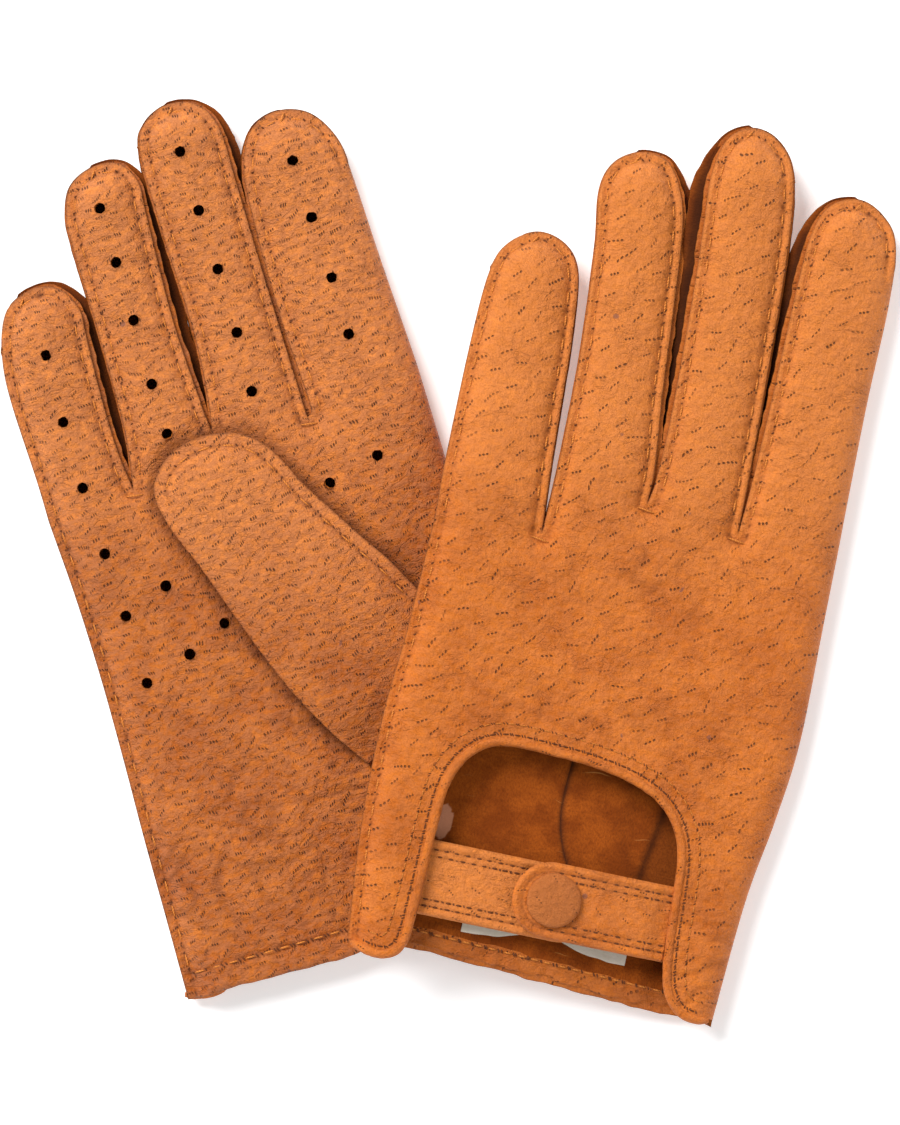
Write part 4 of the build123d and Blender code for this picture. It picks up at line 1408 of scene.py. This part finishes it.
def strap_slab(start, end, centre_y, half, outer, flip):
    """A strap with a round end: rolled edges, sunk stitch rows, flat underside."""
    direction = 1 if end > start else -1
    straight = end - direction * half
    steps = max(4, int(abs(straight - start) / 0.7))
    x = np.concatenate([np.linspace(start, straight, steps),
                        straight + direction * half * np.sin(np.linspace(0, pi / 2, 22)[1:])])
    past = np.maximum((x - straight) * direction, 0)
    width = np.sqrt(np.maximum(half ** 2 - past ** 2, 0.0))
    share = np.linspace(-1, 1, 41)
    share = share + 0.12 * np.sin(pi * share)
    grid_x = np.repeat(x[:, None], len(share), axis=1)
    grid_y = centre_y + width[:, None] * share[None]
    to_edge = half - np.hypot(np.maximum((grid_x - straight) * direction, 0), grid_y - centre_y)
    d = np.maximum(to_edge, 0)
    roll = rounded(d, 1.15) * (1 - 0.42 * ramp(1.1, 2.5, d))
    roll = roll + 0.16 * bump(d, 3.3, 0.55) + 0.10 * ramp(4.2, 5.4, d)
    soft = 0.10 * noise(grid_x / 2.2, grid_y / 3.0, 61) + 0.12 * noise(grid_x / 7, grid_y / 6, 62)
    soft = soft * ramp(0.5, 5, d)
    rise = STRAP_THICK * 0.62
    level = outer(grid_x)
    top = level - flip * rise + flip * (roll * rise * 1.25 + soft)
    under = level - flip * rise - flip * (STRAP_THICK - rise) * rounded(d, 1.0)
    # painted shade in the sunk stitch rows
    shade = 0.55 * bump(d, STRAP_ROWS[0], 0.3) + 0.35 * bump(d, STRAP_ROWS[1], 0.3)
    faces = grid_faces(*grid_x.shape)
    count = grid_x.size
    upper = np.stack([grid_x, grid_y, top], -1).reshape(-1, 3)
    lower = np.stack([grid_x, grid_y, under], -1).reshape(-1, 3)
    number = np.arange(count).reshape(grid_x.shape)
    rim = np.concatenate([number[:, 0], number[-1, 1:], number[-2::-1, -1], number[0, -2::-1]])
    walls = np.stack([rim[:-1], rim[1:], rim[1:] + count, rim[:-1] + count], 1)
    body = np.vstack([faces, faces[:, ::-1] + count, walls])
    if flip > 0:
        body = body[:, ::-1]
    kinds = np.repeat([0, 1, 0], [len(faces), len(faces), len(walls)])
    plan = np.vstack([upper[:, :2] + 90] * 2)
    return Piece(np.vstack([upper, lower]), body, kinds, plan,
                 np.concatenate([shade.ravel(), np.zeros(count)]))


def strap_rows(glove, start, end, centre_y, half, outer, flip, around):
    """Stitches of a strap: two rows on each long side; the outer one may go round the end."""
    direction = 1 if end > start else -1
    straight = end - direction * half
    found = []
    for inset in STRAP_ROWS:
        reach = half - inset
        angle = np.linspace(-pi / 2, pi / 2, 30)
        arc = np.stack([straight + direction * reach * np.cos(angle),
                        centre_y + reach * np.sin(angle)], 1)
        run = np.linspace(start, straight, 60)
        low = np.stack([run, np.full(60, centre_y - reach)], 1)
        high = np.stack([run[::-1], np.full(60, centre_y + reach)], 1)
        joined = around and inset == STRAP_ROWS[0]
        for path in [np.vstack([low, arc[1:-1], high])] if joined else [low, high]:
            found.append(stitch_line(glove, path, lambda p: outer(p[:, 0]) - flip * 0.42,
                                     STRAP_PITCH, STRAP_STITCH, STRAP_THREAD, lift=0.4 * flip))
    return merge(found)


def lathe(profile, centre, level, flip, sides=48):
    """A round form from a profile of radius and height."""
    angle = np.linspace(0, 2 * pi, sides, endpoint=False)
    radius, rise = np.array(profile, float).T
    rough = 1 + 0.012 * noise(np.cos(angle) * 2, np.sin(angle) * 2, 71)
    x = centre[0] + radius[:, None] * np.cos(angle) * rough
    y = centre[1] + radius[:, None] * np.sin(angle) * rough
    dent = 0.06 * noise(x / 1.9, y / 1.9, 72) * ramp(0.5, 1.5, rise)[:, None]
    z = level + flip * (rise[:, None] + dent)
    points = np.stack([x, y, z], -1)
    faces = grid_faces(len(profile), sides, closed=True)
    if flip < 0:
        faces = faces[:, ::-1]
    # painted shade round the foot of the cap, where it meets the tab
    shade = np.broadcast_to(0.9 * (1 - ramp(0.05, 0.7, rise))[:, None], x.shape)
    return Piece(points.reshape(-1, 3), faces, np.zeros(len(faces), int),
                 np.stack([x, y], -1) + 140, shade)


def build_strap(glove):
    """Strap base, strap tab, leather-covered cap and the snap's metal parts."""
    flip = 1 if glove.back_up else -1

    def tab_level(x):
        dip = 1.7 * ramp(24.5, 31.0, x)         # towards the end that is sewn in
        if glove.back_up:
            return 11.9 + 0.0175 * (STRAP_FOLD - x) - dip
        return 1.0 + 0.035 * (STRAP_FOLD - x) + 0.4 * dip

    def base_level(x):
        return 8.35 + 0 * x if glove.back_up else 2.65 + 0.098 * (x + 43.0)

    straps = (("base", BASE_AT, base_level, "hand"), ("tab", TAB_AT, tab_level, "strap"))
    for strap, at, level, body in straps:
        slab = strap_slab(*at, level, flip)
        rows = strap_rows(glove, *at, level, flip, strap == "base")
        if strap == "base":
            slab.plan[:, 1] += 60                   # moved into the paler part of the leather's pattern: painted light on the base, which lies in shade
        make.add(glove, f"strap_{strap}", slab, [edge_leather, flesh], "edge_leather", body=body)
        make.sew(glove, f"strap_{strap}_stitches", rows, DARK_THREADS, body=body)
    cap = lathe(CAP_DOME, SNAP_AT, tab_level(np.array(SNAP_AT[0])), flip)
    make.add(glove, "snap_cap", cap, [cap_leather], "edge_leather", body="strap")
    for part in ("socket", "stud", "post"):
        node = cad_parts[f"{glove.name}_snap_{part}"]
        node.data.materials.clear()
        node.data.materials.append(brass)


def build_label(glove):
    """Blank ribbon label, sewn to the inside of the palm."""
    x, share = np.meshgrid(np.linspace(*LABEL_SIDES, 56), np.linspace(0, 1, 30))
    low = LABEL_LOW + 3.6 * bump(x, 0, 9) + 0.3 * noise(x / 3, 0 * x, 87)
    y = low + (LABEL_HIGH - low) * share
    plan = np.stack([x, y], -1)
    gap = LEATHER + 0.55
    level = lower_height(glove, plan) + gap if glove.back_up else upper_height(glove, plan) - gap
    level = level + 0.15 * noise(x / 6, y / 5, 88)
    outer = np.concatenate([plan, level[..., None]], -1)
    piece = shell(outer, np.full(x.shape, LABEL_THICK), glove.back_up)
    make.add(glove, "label", piece, [ribbon] * 3, "label_fabric")


# ---------------------------------------------------------------- thumbs
def thumb_heights(glove, plan):
    """Heights of the outer and the inner leaf's grain sides, their shade, and the way along.

    The near side lies on the hand and the far side faces away from it.
    """
    x, y = plan[..., 0], plan[..., 1]
    d, place, fold = thumb_edges(plan)
    along = (plan - THUMB_ROOT) @ THUMB_AXIS
    if glove.back_up:
        near = -0.25
        far = 0.3 - glove.base(x, y)
        rise = ramp(-2, 10, along)
    else:
        near = 10.6
        far = 15.0 + tan(radians(3.0)) * (y - 55.0)
        rise = ramp(-3, 17, along)
    half = (far - near) / 2 * rise
    middle = near + half
    sewn = 0.16 + 0.84 * (1 - np.exp(-np.maximum(d - 1.8, 0) / 3.2))
    shape = rounded(d, THUMB_RADIUS) * fold + sewn * (1 - fold)
    phase = np.cos(2 * pi * place / SEAM_PITCH)
    sunk = 0.4 * bump(d, THUMB_INSET, 0.7) * (1 - 0.3 * phase)
    groove = (0.25 * bump(d, 1.4, 1.0) - sunk) * (1 - fold)
    sign = -1 if glove.back_up else 1
    arcs = creases(x / 11 + 3, along / 3.4, 91) * bump(along, 62, 15)
    crumple = creases((x + y * 0.4) / 4.2, (y - x * 0.3) / 5.6, 92) * 0.16
    folds = 0.3 * noise(x / 13, y / 13, 93) + 0.09 * noise(x / 3.2, y / 3.2, 94) + 0.22 * arcs
    folds = (folds + crumple) * ramp(0, 5, d)
    spread = sign * np.maximum(np.abs(half) * shape, LEATHER * 0.85)
    outer = middle + spread + sign * (groove + folds * (1 if sign > 0 else 0.2)) * rise
    inner = middle - spread
    if sign > 0:
        inner = np.maximum(inner, near)
    else:
        outer = np.maximum(outer, far)
        inner = np.minimum(inner, near)
    # painted shade in the stitch groove and needle holes and at the very edge
    shade = (bump(d, THUMB_INSET, 0.5) * (0.3 + 0.8 * bump((place / SEAM_PITCH) % 1, 0.17, 0.06))
             + 0.5 * bump(d, 0, 0.4)) * (1 - fold)
    return outer, inner, shade, along


def build_thumb(glove):
    """Thumb in two stretches, each with an outer and an inner leaf."""
    rows = int(arc_length(THUMB_FOLD)[-1] / GRID)
    plan = patch(THUMB_FOLD, THUMB_SEAM, THUMB_END, rows, int(THUMB_WIDTH / GRID))
    if glove.back_up:
        # the seam side stays hidden under the hand, eased in towards its index side
        limit = glove.sides_at(plan[..., 1])[1] - 9.0
        over = np.maximum(plan[..., 0] - limit, 0)
        plan[..., 0] += 6.0 * (1 - np.exp(-over / 6.0)) - over
    outer, inner, shade, along = thumb_heights(glove, plan)
    split = int(np.argmax(along.mean(axis=1) > THUMB_BEND))
    upward = not glove.back_up
    start = THUMB_ROOT + THUMB_AXIS * (along[split].max() + 0.4)
    end = start + THUMB_AXIS * THUMB_TURN
    bends = {"base": None, "tip": level_bend(glove, "thumb", start, end, THUMB_LEVEL)}
    for stretch, rows in (("base", slice(0, split + 1)), ("tip", slice(split, None))):
        for side, height, up in (("outer", outer, upward), ("inner", inner, not upward)):
            grid = np.concatenate([plan[rows], height[rows][..., None]], -1)
            thick = np.full(grid.shape[:2], THUMB_SKIN)
            piece = shell(grid, thick, up, shade=1.6 * shade[rows])
            piece.plan[:, 1] += 30                  # cut from another part of the hide
            make.add(glove, f"thumb_{stretch}_{side}", piece, SKIN[glove.back_up],
                     "palm_leather", bend=bends[stretch], weld="thumb_skin")
    line = np.vstack([THUMB_END[6:], THUMB_SEAM[::-1][1:]])
    line = offset_line(resample(line, int(arc_length(line)[-1] / GRID)), THUMB_INSET)
    reach = (line - THUMB_ROOT) @ THUMB_AXIS

    def top(points):
        return thumb_heights(glove, points[None])[0][0]

    sides = [("tip", line[reach > THUMB_BEND + 1.5])]
    if not glove.back_up:
        sides.append(("base", line[(reach < THUMB_BEND + 1.5) & (reach > 12)]))
    for stretch, path in sides:
        row = stitch_line(glove, path, top, lift=0.55 if upward else -0.55)
        make.sew(glove, f"thumb_{stretch}_stitches", row, THREADS, bend=bends[stretch])


# ---------------------------------------------------------------- making the pair
for glove in (right, left):
    build_skin(glove)
    build_fourchettes(glove)
    build_stitches(glove)
    build_binding(glove)
    build_strap(glove)
    build_label(glove)
    build_thumb(glove)
make.finish()


# ---------------------------------------------------------------- table, light and camera
def put(data, name, place, turn=(0, 0, 0)):
    """A new object in the scene."""
    made = bpy.data.objects.new(name, data)
    made.location, made.rotation_euler = place, turn
    bpy.context.scene.collection.objects.link(made)
    return made


TABLE_HALF = 3               # metres from the middle of the table to its edges
TABLE_GAP = 0.0003           # keeps the table just below the gloves
table_mesh = bpy.data.meshes.new("table")
corners = [(TABLE_HALF * i, TABLE_HALF * j, 0) for i, j in ((-1, -1), (1, -1), (1, 1), (-1, 1))]
table_mesh.from_pydata(corners, [], [(0, 1, 2, 3)])
table_mesh.materials.append(floor_material("table_paper"))
put(table_mesh, "table", (0, 0, -TABLE_GAP))

FRAME_HEIGHT = 0.29475      # what the picture shows from bottom to top at the gloves' level
AIM = (0.00029, -0.00005)   # the point on the table straight below the camera
CAMERA_HEIGHT = 2.2
LEVEL = 0.012               # height above the table at which the picture has that size
SENSOR = 36.0               # millimetres
camera = bpy.data.cameras.new("camera")
camera.sensor_width = SENSOR
camera.lens = SENSOR * (CAMERA_HEIGHT - LEVEL) / FRAME_HEIGHT
camera.clip_end = 20.0
bpy.context.scene.camera = put(camera, "camera", (*AIM, CAMERA_HEIGHT))


def soft_light(name, place, size, power):
    """A far soft box that faces the gloves; its size is the angle it fills."""
    data = bpy.data.lights.new(name, "SUN")
    data.angle, data.energy = radians(size), power
    facing = (-Vector(place)).to_track_quat("-Z", "Y").to_euler()
    return put(data, name, place, facing)


soft_light("key", (-0.70, 0.80, 1.1), 32.0, 3.85)
soft_light("fill", (0.9, -0.5, 1.3), 50.0, 0.8)
world = bpy.data.worlds.new("studio")
world.use_nodes = True
world.node_tree.nodes["Background"].inputs["Color"].default_value = (1, 1, 1, 1)
world.node_tree.nodes["Background"].inputs["Strength"].default_value = 0.35
bpy.context.scene.world = world
bpy.context.scene.view_settings.view_transform = "Standard"
